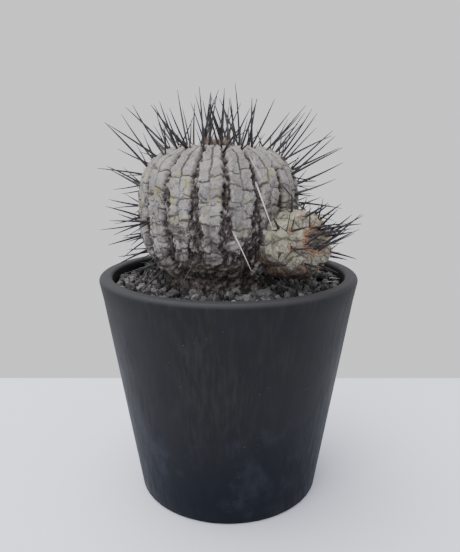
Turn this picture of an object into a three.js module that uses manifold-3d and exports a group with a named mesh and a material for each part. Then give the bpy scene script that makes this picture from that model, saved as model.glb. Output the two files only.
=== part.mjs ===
// Round grey cactus with one offset, growing in a straight tapered pot with a gravel top dressing.
// Millimetres, +Z up. The origin is the centre of the pot's foot, on the surface it stands on;
// the offset grows towards +X and -Y.
import * as THREE from 'three';
import { mergeVertices } from 'three/addons/utils/BufferGeometryUtils.js';
import Module from 'manifold-3d';

const wasm = await Module();
wasm.setup();

// ---- driving dimensions ------------------------------------------------------------------------
const GAP = 0.3;                  // air between pieces that rest on each other

const POT_TOP_RADIUS = 60;
const POT_BASE_RADIUS = 43.2;
const POT_HEIGHT = 105.5;
const POT_WALL = 6;               // measured level, the same all the way up
const POT_FLOOR = 6;
const POT_SEGMENTS = 48;
const RIM_OUTER_ROUND = 2;
const RIM_INNER_ROUND = 1.4;
const FOOT_ROUND = 1.2;
const DRAIN_COUNT = 4;            // on the diagonals
const DRAIN_HOLE_RADIUS = 3.5;
const DRAIN_RING_RADIUS = 24;     // from the pot's centre to a drain hole's centre
const CHANNEL_WIDTH = 6;          // each channel links a front hole and a back hole, and leaves at the back
const CHANNEL_DEPTH = 1.6;

const SOIL_BELOW_RIM = 9.5;       // top of the potting mix
const GRAVEL_BELOW_RIM = 4.6;     // mean top of the gravel
const GRAVEL_SWELL = 0.7;         // how far the gravel surface rises and falls

const STEM_RADIUS = 36.3;
const STEM_CENTRE_X = -4.7;
const STEM_CENTRE_Y = 1.5;
const STEM_WAIST_ABOVE_RIM = 27.5; // height of the widest level
const STEM_UPPER_HEIGHT = 30.6;   // widest level to crown
const STEM_LOWER_HEIGHT = 38;     // half height of the ellipse under the widest level
const STEM_FULLNESS = 3.2;        // exponent of the crown's outline: 2 is round, more is boxier
const RIB_COUNT = 17;
const RIB_FIRST_ANGLE = -83.5;    // degrees from +X, the areole column that faces the front
const AREOLE_RECESS = 1.2;
const PLATE_BULGE = 0.6;
const FURROW_DEPTH = 0.3;
const COLLAR_RADIUS = 25.5;       // corky base under the ribs
const ROOT_RADIUS = 12;
const ROOT_TIP_RADIUS = 4;
const ROOT_LENGTH = 34;

const OFFSET_RADIUS = 14.6;
const OFFSET_UPPER_HEIGHT = 16.5;
const OFFSET_LOWER_HEIGHT = 19;
const OFFSET_FULLNESS = 2.3;
const OFFSET_RIB_COUNT = 8;
const OFFSET_ANGLE = -35;         // where it grows out of the stem, degrees from +X
const OFFSET_ABOVE_RIM = 16;
const OFFSET_STANDOFF = 4.6;      // its centre beyond the stem's surface
const OFFSET_AXIS = new THREE.Vector3(0.48, -0.84, 0.25).normalize();

const SPINE_BASE_RADIUS = 0.55;
const SPINE_LENGTH = 27.5;
const OFFSET_SPINE_LENGTH = 17;
const AREOLE_SPACING = 7.6;
const SPINE_SIDES = 3;
const SPINE_CLEARANCE = 0.35;     // least air between spines of two ribs
const STEM_MARGIN = 2;            // least air between a spine and the other stem
const OPEN_MARGIN = 1.2;          // least air between a spine and the gravel or the rim
const WOOL_HEIGHT = 2.4;

// ---- colours and finishes ----------------------------------------------------------------------
const finish = (color, roughness) => new THREE.MeshStandardMaterial({ color, roughness, metalness: 0 });
const charcoalPlastic = finish(0x33363b, 0.62);
const pottingMix = finish(0x3b2f27, 0.95);
const lavaGravel = finish(0x4b4644, 0.95);
const greySkin = finish(0xa8a29c, 0.8);
const creamSkin = finish(0xafaa90, 0.75);
const brownWool = finish(0xb07f58, 1);
const darkSpine = finish(0x28262a, 0.55);

// ---- shared helpers ----------------------------------------------------------------------------
const toRad = THREE.MathUtils.degToRad;

function toSolid(geometry) {
  const bare = geometry.clone();
  bare.deleteAttribute('normal');
  bare.deleteAttribute('uv');
  const merged = mergeVertices(bare, 1e-4);
  return new wasm.Manifold(new wasm.Mesh({
    numProp: 3,
    vertProperties: new Float32Array(merged.attributes.position.array),
    triVerts: new Uint32Array(merged.index.array),
  }));
}

function toGeometry(solid) {
  const mesh = solid.getMesh();
  const geometry = new THREE.BufferGeometry();
  geometry.setAttribute('position', new THREE.BufferAttribute(mesh.vertProperties, 3));
  geometry.setIndex(new THREE.BufferAttribute(mesh.triVerts, 1));
  geometry.computeVertexNormals();
  return geometry;
}

function addPiece(name, geometry, material) {
  const mesh = new THREE.Mesh(geometry, material);
  mesh.name = name;
  assembly.add(mesh);
}

// A solid of revolution about +Z. Each point is [radius, height]; the outline starts and ends on the axis.
function revolve(outline, segments) {
  const points = outline.map(([radius, height]) => new THREE.Vector2(radius, height));
  return new THREE.LatheGeometry(points, segments).rotateX(Math.PI / 2);
}

// Rows of points, lowest first, skinned into a closed body with a pole at each end.
function skin(rows, lowPole, highPole) {
  const count = rows[0].length;
  const vertices = [lowPole, ...rows.flat(), highPole];
  const last = vertices.length - 1;
  const index = [];
  for (let k = 0; k < count; k += 1) {
    const next = (k + 1) % count;
    index.push(0, 1 + next, 1 + k);
    for (let j = 0; j + 1 < rows.length; j += 1) {
      const low = 1 + j * count;
      const high = low + count;
      index.push(low + k, low + next, high + next, low + k, high + next, high + k);
    }
    const top = 1 + (rows.length - 1) * count;
    index.push(top + k, top + next, last);
  }
  const geometry = new THREE.BufferGeometry();
  geometry.setAttribute('position', new THREE.Float32BufferAttribute(
    vertices.flatMap((point) => point.toArray()), 3));
  geometry.setIndex(index);
  return geometry;
}

function seededRandom(seed) {
  let state = seed;
  return () => {
    state = (state * 1664525 + 1013904223) % 4294967296;
    return state / 4294967296;
  };
}

const assembly = new THREE.Group();

// ---- pot ---------------------------------------------------------------------------------------
const potRadiusAt = (height) => POT_BASE_RADIUS
  + (POT_TOP_RADIUS - POT_BASE_RADIUS) * height / POT_HEIGHT;
const potInnerRadiusAt = (height) => potRadiusAt(height) - POT_WALL;

function makePot() {
  const roundedOuter = [0, 22.5, 45, 67.5, 90].map((degrees) => {
    const angle = toRad(degrees);
    return [
      POT_TOP_RADIUS - RIM_OUTER_ROUND * (1 - Math.cos(angle)),
      POT_HEIGHT - RIM_OUTER_ROUND * (1 - Math.sin(angle)),
    ];
  });
  const outline = [
    [0, 0],
    [POT_BASE_RADIUS - FOOT_ROUND, 0],
    [potRadiusAt(FOOT_ROUND) - FOOT_ROUND * 0.15, FOOT_ROUND * 0.4],
    [potRadiusAt(FOOT_ROUND), FOOT_ROUND],
    ...roundedOuter,
    [potInnerRadiusAt(POT_HEIGHT) + RIM_INNER_ROUND, POT_HEIGHT],
    [potInnerRadiusAt(POT_HEIGHT - RIM_INNER_ROUND), POT_HEIGHT - RIM_INNER_ROUND],
    [potInnerRadiusAt(POT_FLOOR), POT_FLOOR],
    [0, POT_FLOOR],
  ];
  let pot = toSolid(revolve(outline, POT_SEGMENTS));
  for (let k = 0; k < DRAIN_COUNT; k += 1) {
    const angle = toRad(45 + 360 * k / DRAIN_COUNT);
    const hole = new THREE.CylinderGeometry(DRAIN_HOLE_RADIUS, DRAIN_HOLE_RADIUS, POT_FLOOR * 3, 16);
    hole.rotateX(Math.PI / 2).translate(DRAIN_RING_RADIUS, 0, POT_FLOOR / 2).rotateZ(angle);
    pot = pot.subtract(toSolid(hole));
  }
  const holeAcross = DRAIN_RING_RADIUS * Math.SQRT1_2;
  const channelLength = POT_TOP_RADIUS + holeAcross;
  for (const x of [-holeAcross, holeAcross]) {
    const channel = new THREE.BoxGeometry(CHANNEL_WIDTH, channelLength, CHANNEL_DEPTH * 2);
    pot = pot.subtract(toSolid(channel.translate(x, channelLength / 2 - holeAcross, 0)));
  }
  return pot;
}

// ---- stems -------------------------------------------------------------------------------------
const RELIEF_FADE = 0.5;          // of the stem's radius: nearer the crown the ribs get shallower

// A stem stands on its own axis. Its outline is a full-shouldered curve above the widest level and an
// ellipse below it; a row is one level of the outline, with its outward direction.
function outlineRows(shape) {
  const rows = [];
  for (const degrees of shape.lowAngles) {
    const angle = toRad(degrees);
    rows.push({
      radius: shape.radius * Math.cos(angle),
      height: -shape.lower * Math.sin(angle),
    });
  }
  for (const degrees of shape.highAngles) {
    const angle = toRad(degrees);
    rows.push({
      radius: shape.radius * Math.cos(angle) ** (2 / shape.fullness),
      height: shape.upper * Math.sin(angle) ** (2 / shape.fullness),
    });
  }
  rows.forEach((row, j) => {
    const below = rows[Math.max(j - 1, 0)];
    const above = rows[Math.min(j + 1, rows.length - 1)];
    const outward = new THREE.Vector2(above.height - below.height, below.radius - above.radius).normalize();
    row.out = outward.x;
    row.up = outward.y;
    row.relief = shape.reliefScale * Math.min(1, row.radius / (RELIEF_FADE * shape.radius));
  });
  return rows;
}

// The point at a turn about the axis and a distance out from the row's smooth outline.
function pointOn(row, turn, lift) {
  const radius = row.radius + row.out * lift;
  return new THREE.Vector3(radius * Math.cos(turn), radius * Math.sin(turn), row.height + row.up * lift);
}

// Across one rib pitch: the flat floor of the areole column, the two plate crests and the furrow.
const FLOOR_HALF = 0.13;
const CREST_AT = 0.25;
const relief = [
  [-FLOOR_HALF, -AREOLE_RECESS],
  [FLOOR_HALF, -AREOLE_RECESS],
  [CREST_AT, PLATE_BULGE],
  [0.5, -FURROW_DEPTH],
  [1 - CREST_AT, PLATE_BULGE],
];

function stemSurface(shape, clearance) {
  const rows = shape.rows.map((row) => {
    const points = [];
    for (let k = 0; k < shape.ribs; k += 1) {
      for (const [across, lift] of relief) {
        const turn = shape.firstTurn + (k + across) * 2 * Math.PI / shape.ribs;
        points.push(pointOn(row, turn, lift * row.relief + clearance));
      }
    }
    return points;
  });
  const lowest = shape.rows[0].height - shape.lowPoleDrop - clearance;
  const highest = shape.rows[shape.rows.length - 1].height + shape.highPoleRise + clearance;
  return skin(rows, new THREE.Vector3(0, 0, lowest), new THREE.Vector3(0, 0, highest));
}

const stemWaist = POT_HEIGHT + STEM_WAIST_ABOVE_RIM;
const stemShape = {
  radius: STEM_RADIUS,
  upper: STEM_UPPER_HEIGHT,
  lower: STEM_LOWER_HEIGHT,
  fullness: STEM_FULLNESS,
  ribs: RIB_COUNT,
  firstTurn: toRad(RIB_FIRST_ANGLE),
  reliefScale: 1,
  lowAngles: [45, 35, 24, 12],
  highAngles: [0, 15, 30, 45, 58, 69, 78, 84, 87.5],
  lowPoleDrop: 0,
  highPoleRise: -0.6,             // the crown is a little sunken
  lengthScale: SPINE_LENGTH,
  place: new THREE.Matrix4().makeTranslation(STEM_CENTRE_X, STEM_CENTRE_Y, stemWaist),
};
stemShape.rows = outlineRows(stemShape);

const soilTop = POT_HEIGHT - SOIL_BELOW_RIM;
const gravelTop = POT_HEIGHT - GRAVEL_BELOW_RIM;

// The corky collar goes through the gravel and sits on the potting mix; the root goes on down into it.
function collarAndRoot(clearance) {
  const collarTop = stemWaist + stemShape.rows[1].height;
  const collarFoot = soilTop + GAP - clearance;
  const rootFoot = Math.max(collarFoot - ROOT_LENGTH, POT_FLOOR + GAP);
  const outline = [
    [0, rootFoot - clearance],
    [ROOT_TIP_RADIUS + clearance, rootFoot - clearance],
    [ROOT_RADIUS + clearance, collarFoot],
    [COLLAR_RADIUS - 1.5 + clearance, collarFoot],
    [COLLAR_RADIUS + clearance, collarFoot + 2],
    [COLLAR_RADIUS - 0.6 + clearance, stemWaist + stemShape.rows[0].height + 1],
    [COLLAR_RADIUS * 0.6, collarTop],
    [0, collarTop],
  ];
  return toSolid(revolve(outline, 32).translate(STEM_CENTRE_X, STEM_CENTRE_Y, 0));
}

function stemSolid(clearance) {
  return toSolid(stemSurface(stemShape, clearance).applyMatrix4(stemShape.place));
}

// The offset's centre stands off the stem's side, and its own axis leans out and up.
const offsetTurn = toRad(OFFSET_ANGLE);
const offsetDrop = (POT_HEIGHT + OFFSET_ABOVE_RIM - stemWaist) / STEM_LOWER_HEIGHT;
const offsetReach = STEM_RADIUS * Math.sqrt(1 - Math.min(offsetDrop, 0) ** 2) + OFFSET_STANDOFF;
const offsetCentre = new THREE.Vector3(
  STEM_CENTRE_X + offsetReach * Math.cos(offsetTurn),
  STEM_CENTRE_Y + offsetReach * Math.sin(offsetTurn),
  POT_HEIGHT + OFFSET_ABOVE_RIM,
);
const offsetShape = {
  radius: OFFSET_RADIUS,
  upper: OFFSET_UPPER_HEIGHT,
  lower: OFFSET_LOWER_HEIGHT,
  fullness: OFFSET_FULLNESS,
  ribs: OFFSET_RIB_COUNT,
  firstTurn: 0,
  reliefScale: 0.7,
  lowAngles: [70, 52, 34, 17],
  highAngles: [0, 18, 36, 52, 66],
  lowPoleDrop: 1.2,
  highPoleRise: 0.4,
  lengthScale: OFFSET_SPINE_LENGTH,
  place: new THREE.Matrix4().compose(
    offsetCentre,
    new THREE.Quaternion().setFromUnitVectors(new THREE.Vector3(0, 0, 1), OFFSET_AXIS),
    new THREE.Vector3(1, 1, 1),
  ),
};
offsetShape.rows = outlineRows(offsetShape);

function offsetSolid(clearance) {
  return toSolid(stemSurface(offsetShape, clearance).applyMatrix4(offsetShape.place));
}

// Whether a point lies inside a stem's smooth outline, grown by a margin.
function isInside(shape, point, margin) {
  const local = point.clone().applyMatrix4(shape.place.clone().invert());
  const power = local.z > 0 ? shape.fullness : 2;
  const tall = (local.z > 0 ? shape.upper : shape.lower) + margin;
  const wide = shape.radius + PLATE_BULGE + margin;
  return (Math.hypot(local.x, local.y) / wide) ** power + (Math.abs(local.z) / tall) ** power < 1;
}

// Whether a point is in the air above the gravel and clear of the pot's rim.
function isInTheOpen(point) {
  const overRim = Math.hypot(point.x, point.y) > potInnerRadiusAt(POT_HEIGHT) - OPEN_MARGIN;
  return point.z > (overRim ? POT_HEIGHT : gravelTop + GRAVEL_SWELL) + OPEN_MARGIN;
}

// ---- spines ------------------------------------------------------------------------------------
const placedSpines = [];          // every spine set so far, so that a new one misses the other ribs'

function segmentsMeet(a, b, least) {
  const steps = 8;
  for (let i = 0; i <= steps; i += 1) {
    const point = a.foot.clone().lerp(a.tip, i / steps);
    const nearest = new THREE.Vector3();
    new THREE.Line3(b.foot, b.tip).closestPointToPoint(point, true, nearest);
    if (nearest.distanceTo(point) < least) return true;
  }
  return false;
}

function coneAlong(spine) {
  const direction = spine.tip.clone().sub(spine.foot);
  const length = direction.length();
  const cone = new THREE.ConeGeometry(SPINE_BASE_RADIUS, length, SPINE_SIDES);
  cone.rotateX(Math.PI / 2).translate(0, 0, length / 2);
  cone.applyQuaternion(new THREE.Quaternion().setFromUnitVectors(
    new THREE.Vector3(0, 0, 1), direction.normalize()));
  return cone.translate(...spine.foot.toArray());
}

// The felted strip along an areole column, from row `first` to row `last`.
const STRIP_HALF = 0.09;          // of a rib pitch
const STRIP_HEIGHT = 1.5;
const SPINE_FOOT_LIFT = 1.0;      // a spine's foot above the strip's underside

function areoleStrip(shape, turn, first, last) {
  const halfTurn = STRIP_HALF * 2 * Math.PI / shape.ribs;
  const rows = shape.rows.slice(first, last + 1).map((row) => {
    const floor = GAP - AREOLE_RECESS * row.relief;
    return [
      pointOn(row, turn + halfTurn, floor),
      pointOn(row, turn - halfTurn, floor),
      pointOn(row, turn, floor + STRIP_HEIGHT),
    ];
  });
  const middle = (row) => row[0].clone().add(row[1]).add(row[2]).divideScalar(3);
  return skin(rows, middle(rows[0]), middle(rows[rows.length - 1])).applyMatrix4(shape.place);
}

// Feet of the areoles, spaced evenly along the column, with the outward and the upward direction there.
function areolesAlong(shape, turn, first, last) {
  const ridge = shape.rows.slice(first, last + 1).map((row) => ({
    point: pointOn(row, turn, GAP - AREOLE_RECESS * row.relief + SPINE_FOOT_LIFT),
    normal: new THREE.Vector3(row.out * Math.cos(turn), row.out * Math.sin(turn), row.up),
  }));
  const areoles = [];
  let walked = AREOLE_SPACING * shape.reliefScale / 2;
  for (let j = 0; j + 1 < ridge.length; j += 1) {
    const length = ridge[j].point.distanceTo(ridge[j + 1].point);
    while (walked <= length) {
      const share = walked / length;
      const normal = ridge[j].normal.clone().lerp(ridge[j + 1].normal, share).normalize();
      const along = ridge[j + 1].point.clone().sub(ridge[j].point).normalize();
      areoles.push({ foot: ridge[j].point.clone().lerp(ridge[j + 1].point, share), normal, along });
      walked += AREOLE_SPACING * shape.reliefScale;
    }
    walked -= length;
  }
  return areoles;
}

// [lean along the column, lean sideways, share of the full length]: the long central spine, and the
// side spine, which turns the other way on every second areole.
const spineFan = [
  [0.35, 0.0, 1.0],
  [0.25, 0.75, 0.72],
];

function spinesOfRib(shape, turn, first, last, random, keep) {
  let solid = toSolid(areoleStrip(shape, turn, first, last));
  const rotation = new THREE.Matrix4().extractRotation(shape.place);
  const ownSpines = [];
  const areoles = areolesAlong(shape, turn, first, last);
  areoles.forEach((areole, number) => {
    const height = (number + 1) / areoles.length;      // 1 at the crown
    const worn = random() > keep(turn, height);
    const hand = number % 2 === 0 ? 1 : -1;
    for (const [lean, side, share] of spineFan) {
      for (let attempt = 0; attempt < 8; attempt += 1) {
        const sideways = new THREE.Vector3().crossVectors(areole.along, areole.normal);
        const direction = areole.normal.clone()
          .addScaledVector(areole.along, lean + 0.5 * (random() - 0.5))
          .addScaledVector(sideways, hand * side + 0.5 * (random() - 0.5))
          .normalize();
        const length = shape.lengthScale * share * (0.75 + 0.25 * random()) * (0.8 + 0.2 * height);
        const foot = areole.foot.clone();
        const tip = foot.clone().addScaledVector(direction, length);
        const spine = {
          foot: foot.applyMatrix4(shape.place),
          tip: tip.applyMatrix4(shape.place),
          way: direction.applyMatrix4(rotation),
        };
        if (worn || !spineIsFree(spine, shape)) continue;
        ownSpines.push(spine);
        solid = solid.add(toSolid(coneAlong(spine)));
        break;
      }
    }
  });
  placedSpines.push(...ownSpines);
  return solid;
}

function spineIsFree(spine, shape) {
  const neighbour = shape === stemShape ? offsetShape : stemShape;
  for (let step = 0; step <= 10; step += 1) {
    const point = spine.foot.clone().lerp(spine.tip, step / 10);
    if (isInside(neighbour, point, STEM_MARGIN) || !isInTheOpen(point)) return false;
  }
  const least = 2 * SPINE_BASE_RADIUS + SPINE_CLEARANCE;
  return !placedSpines.some((other) => segmentsMeet(spine, other, least));
}

const STEM_FIRST_ROW = 1;         // rows below these have no areoles
const OFFSET_FIRST_ROW = 5;

// Old ribs at the front have lost most of their lower spines.
const stemKeep = (turn, height) => {
  const facing = Math.max(0, -Math.sin(turn));         // 1 at the front
  return height > 0.72 ? 1 : 0.9 - 0.85 * facing ** 2;
};

// The row an areole column starts from, so that it stays clear of the other stem.
function firstFreeRow(shape, turn, lowest, neighbour) {
  let first = lowest;
  shape.rows.forEach((row, j) => {
    const point = pointOn(row, turn, 0).applyMatrix4(shape.place);
    if (isInside(neighbour, point, STEM_MARGIN + 1)) first = Math.max(lowest, j + 2);
  });
  return Math.min(first, shape.rows.length - 2);
}

// A low dome of wool on a crown, set in from the top row's outline.
function tuftOn(shape, inset) {
  const top = shape.rows[shape.rows.length - 1];
  const outline = [[0, 0], [1, 0], [0.94, 0.35], [0.76, 0.66], [0.42, 0.91], [0, 1]];
  const tuft = revolve(outline.map(([r, h]) => [r * (top.radius - inset), h * WOOL_HEIGHT]), 18);
  return toSolid(tuft.translate(0, 0, top.height + GAP + PLATE_BULGE).applyMatrix4(shape.place));
}

// ---- soil and gravel ---------------------------------------------------------------------------
function makePottingMix() {
  const foot = POT_FLOOR + GAP;
  const outline = [
    [0, foot],
    [potInnerRadiusAt(foot) - GAP, foot],
    [potInnerRadiusAt(soilTop) - GAP, soilTop],
    [0, soilTop],
  ];
  return toSolid(revolve(outline, POT_SEGMENTS)).subtract(collarAndRoot(GAP));
}

function gravelHeightAt(x, y) {
  return gravelTop + GRAVEL_SWELL * (Math.sin(x / 9 + 1) + Math.cos(y / 8 - x / 23)) * 0.6;
}

function makeTopDressing() {
  const rings = 6;
  const foot = soilTop + GAP;
  const edge = potInnerRadiusAt(foot) - GAP;
  const ringPoints = (radius, heightOf) => Array.from({ length: POT_SEGMENTS }, (_, k) => {
    const turn = k * 2 * Math.PI / POT_SEGMENTS;
    const x = radius * Math.cos(turn);
    const y = radius * Math.sin(turn);
    return new THREE.Vector3(x, y, heightOf(x, y));
  });
  const rows = [ringPoints(edge, () => foot)];
  for (let ring = rings; ring > 0; ring -= 1) rows.push(ringPoints(edge * ring / rings, gravelHeightAt));
  const bed = skin(rows, new THREE.Vector3(0, 0, foot), new THREE.Vector3(0, 0, gravelHeightAt(0, 0)));
  return toSolid(bed).subtract(collarAndRoot(GAP)).subtract(stemSolid(GAP)).subtract(offsetSolid(GAP));
}

// ---- assembly ----------------------------------------------------------------------------------
addPiece('pot', toGeometry(makePot()), charcoalPlastic);
addPiece('potting_mix', toGeometry(makePottingMix()), pottingMix);
addPiece('top_dressing', toGeometry(makeTopDressing()), lavaGravel);

const wholeStem = stemSolid(0).add(collarAndRoot(0));
addPiece('cactus_stem', toGeometry(wholeStem), greySkin);
addPiece('offset_stem', toGeometry(offsetSolid(0).subtract(stemSolid(GAP))), creamSkin);
addPiece('crown_wool', toGeometry(tuftOn(stemShape, 1.4)), brownWool);
addPiece('offset_wool', toGeometry(tuftOn(offsetShape, 1.2)), brownWool);

const random = seededRandom(20);
const twoDigits = (number) => String(number).padStart(2, '0');
for (let k = 0; k < OFFSET_RIB_COUNT; k += 1) {
  const turn = offsetShape.firstTurn + k * 2 * Math.PI / OFFSET_RIB_COUNT;
  const first = firstFreeRow(offsetShape, turn, OFFSET_FIRST_ROW, stemShape);
  const rib = spinesOfRib(offsetShape, turn, first, offsetShape.rows.length - 1, random, () => 1);
  addPiece(`offset_spines_${twoDigits(k + 1)}`, toGeometry(rib), darkSpine);
}
for (let k = 0; k < RIB_COUNT; k += 1) {
  const turn = stemShape.firstTurn + k * 2 * Math.PI / RIB_COUNT;
  const first = firstFreeRow(stemShape, turn, STEM_FIRST_ROW, offsetShape);
  const rib = spinesOfRib(stemShape, turn, first, stemShape.rows.length - 1, random, stemKeep);
  addPiece(`spines_rib_${twoDigits(k + 1)}`, toGeometry(rib), darkSpine);
}

export default assembly;
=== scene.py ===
# Round grey cactus with one offset, in a charcoal pot with a lava gravel top dressing.
import math
import random

import bmesh
import bpy
import numpy as np
from mathutils import Matrix, Vector, noise


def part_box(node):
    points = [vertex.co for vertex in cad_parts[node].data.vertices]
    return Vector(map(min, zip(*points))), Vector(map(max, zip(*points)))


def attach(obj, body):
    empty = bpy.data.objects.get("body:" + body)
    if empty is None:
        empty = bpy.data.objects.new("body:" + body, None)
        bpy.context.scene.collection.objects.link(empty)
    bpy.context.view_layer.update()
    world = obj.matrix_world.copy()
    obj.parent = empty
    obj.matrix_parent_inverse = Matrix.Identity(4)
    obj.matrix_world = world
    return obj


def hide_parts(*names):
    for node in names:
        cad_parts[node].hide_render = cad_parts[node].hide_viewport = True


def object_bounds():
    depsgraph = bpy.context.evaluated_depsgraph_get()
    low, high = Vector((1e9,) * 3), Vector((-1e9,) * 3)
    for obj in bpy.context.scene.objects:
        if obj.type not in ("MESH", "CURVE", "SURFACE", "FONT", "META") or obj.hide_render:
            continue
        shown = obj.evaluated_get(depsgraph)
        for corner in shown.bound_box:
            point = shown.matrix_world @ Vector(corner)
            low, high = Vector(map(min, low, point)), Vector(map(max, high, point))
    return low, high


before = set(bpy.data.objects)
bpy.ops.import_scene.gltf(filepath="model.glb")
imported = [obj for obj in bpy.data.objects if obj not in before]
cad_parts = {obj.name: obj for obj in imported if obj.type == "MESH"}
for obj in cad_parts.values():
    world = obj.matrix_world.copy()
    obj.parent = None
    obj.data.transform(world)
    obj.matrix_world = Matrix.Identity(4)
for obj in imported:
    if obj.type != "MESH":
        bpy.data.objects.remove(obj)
cadBox = [list(corner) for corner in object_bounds()]

mm = 0.001
root = "root"
scene = bpy.context.scene


# An even grey room with two soft lamps, and a pale table top under the pot.
studio = {
    "cameraPlace": (0.00068, -0.2620, 0.1622),
    "cameraPitch": 12.76,          # degrees below level
    "lens": 36.85,
    "sensorWidth": 36,
    "nearestSeen": 0.01,
    "floorHalfWidth": 0.8,
    "floorNear": -0.6,
    "floorFar": 0.12,
    "floorColour": (0.84, 0.87, 0.985),
    "floorRoughness": 0.85,
    "worldColour": (0.80, 0.80, 0.825),
    "worldStrength": 1.17,
    # each lamp's place, the point it faces, its power and its size
    "lamps": {
        "skyLamp": ((-0.25, 0.05, 1.1), (0, 0, 0.08), 14.0, 1.1),
        "frontLamp": ((-0.5, -0.9, 0.7), (0, 0, 0.1), 6.0, 0.9),
    },
}


def linked(name, data):
    item = bpy.data.objects.new(name, data)
    scene.collection.objects.link(item)
    return item


def addCamera(look):
    camera = bpy.data.cameras.new("camera")
    camera.lens = look["lens"]
    camera.sensor_width = look["sensorWidth"]
    camera.clip_start = look["nearestSeen"]
    scene.camera = linked("camera", camera)
    scene.camera.location = look["cameraPlace"]
    scene.camera.rotation_euler = (math.radians(90 - look["cameraPitch"]), 0, 0)


def addLamp(name, place, target, power, size):
    lamp = bpy.data.lights.new(name, "AREA")
    lamp.shape = "DISK"
    lamp.energy = power
    lamp.size = size
    lampObject = linked(name, lamp)
    lampObject.location = place
    aim = Vector(target) - Vector(place)
    lampObject.rotation_euler = aim.to_track_quat("-Z", "Y").to_euler()


def lightRoom(look):
    world = bpy.data.worlds.new("paleRoom")
    scene.world = world
    world.use_nodes = True
    background = world.node_tree.nodes["Background"]
    background.inputs["Color"].default_value = (*look["worldColour"], 1)
    background.inputs["Strength"].default_value = look["worldStrength"]
    for name, lamp in look["lamps"].items():
        addLamp(name, *lamp)


def layFloor(look):
    half, near, far = look["floorHalfWidth"], look["floorNear"], look["floorFar"]
    corners = [(-half, near, 0), (half, near, 0), (half, far, 0), (-half, far, 0)]
    mesh = bpy.data.meshes.new("floor")
    mesh.from_pydata(corners, [], [(0, 1, 2, 3)])
    paint = bpy.data.materials.new("floorPaint")
    paint.use_nodes = True
    shader = paint.node_tree.nodes["Principled BSDF"]
    shader.inputs["Base Color"].default_value = (*look["floorColour"], 1)
    shader.inputs["Roughness"].default_value = look["floorRoughness"]
    mesh.materials.append(paint)
    linked("floor", mesh)


addCamera(studio)
lightRoom(studio)
layFloor(studio)
print("studio ready")


# Sets a node's inputs from values or from other nodes' outputs.
def fill(tree, node, values):
    for key, value in values.items():
        if isinstance(value, bpy.types.NodeSocket):
            tree.links.new(value, node.inputs[key])
        else:
            node.inputs[key].default_value = value


class NodeSketch:
    def __init__(self, tree):
        self.tree = tree

    def add(self, kind, values=None, **settings):
        node = self.tree.nodes.new(kind)
        for name, value in settings.items():
            setattr(node, name, value)
        fill(self.tree, node, values or {})
        return node

    def calculate(self, kind, a, b=0.0):
        return self.add("ShaderNodeMath", {0: a, 1: b}, operation=kind).outputs["Value"]

    def times(self, a, b):
        return self.calculate("MULTIPLY", a, b)

    # noise as a vector that points any way, up to half of amount along each axis
    def ripple(self, where, amount, **settings):
        cloud = self.add("ShaderNodeTexNoise", {"Vector": where, **settings})
        centred = self.add("ShaderNodeVectorMath", {0: cloud.outputs["Color"], 1: (0.5, 0.5, 0.5)},
                           operation="SUBTRACT")
        sized = self.add("ShaderNodeVectorMath", {0: centred.outputs["Vector"], "Scale": amount},
                         operation="SCALE")
        return sized.outputs["Vector"]


class PaintSketch(NodeSketch):
    def __init__(self, name):
        self.material = bpy.data.materials.new(name)
        self.material.use_nodes = True
        super().__init__(self.material.node_tree)
        self.shader = self.tree.nodes["Principled BSDF"]
        self.place = self.add("ShaderNodeTexCoord").outputs["Object"]

    def attribute(self, name):
        return self.add("ShaderNodeAttribute", attribute_name=name).outputs["Fac"]

    def stretched(self, scale):
        return self.add("ShaderNodeMapping", {"Vector": self.place, "Scale": scale}).outputs["Vector"]

    def cloud(self, scale, detail=4.0, rough=0.55, where=None):
        values = {"Vector": where or self.place, "Scale": scale, "Detail": detail, "Roughness": rough}
        return self.add("ShaderNodeTexNoise", values).outputs["Fac"]

    def cells(self, scale, where=None, feature="F1"):
        values = {"Vector": where or self.place, "Scale": scale}
        return self.add("ShaderNodeTexVoronoi", values, feature=feature).outputs["Distance"]

    # the same coordinates, pushed about by noise
    def warped(self, where, scale, amount):
        push = self.ripple(where, amount, Scale=scale, Detail=3.0)
        moved = self.add("ShaderNodeVectorMath", {0: where, 1: push}, operation="ADD")
        return moved.outputs["Vector"]

    def band(self, value, low, high, start=0.0, end=1.0):
        values = {"Value": value, "From Min": low, "From Max": high, "To Min": start, "To Max": end}
        node = self.add("ShaderNodeMapRange", values, interpolation_type="SMOOTHSTEP")
        return node.outputs["Result"]

    def mix(self, share, a, b):
        colours = [(*c, 1) if isinstance(c, tuple) else c for c in (a, b)]
        node = self.add("ShaderNodeMix", data_type="RGBA")
        fill(self.tree, node, {0: share, 6: colours[0], 7: colours[1]})
        return node.outputs[2]

    def bump(self, height, strength, distance, normal=None):
        values = {"Height": height, "Strength": strength, "Distance": distance}
        if normal:
            values["Normal"] = normal
        return self.add("ShaderNodeBump", values).outputs["Normal"]

    def finish(self, colour, roughness, normal=None, **constants):
        fill(self.tree, self.shader, {"Base Color": colour, "Roughness": roughness})
        if normal:
            fill(self.tree, self.shader, {"Normal": normal})
        for name, value in constants.items():
            self.shader.inputs[name].default_value = value
        return self.material


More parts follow.
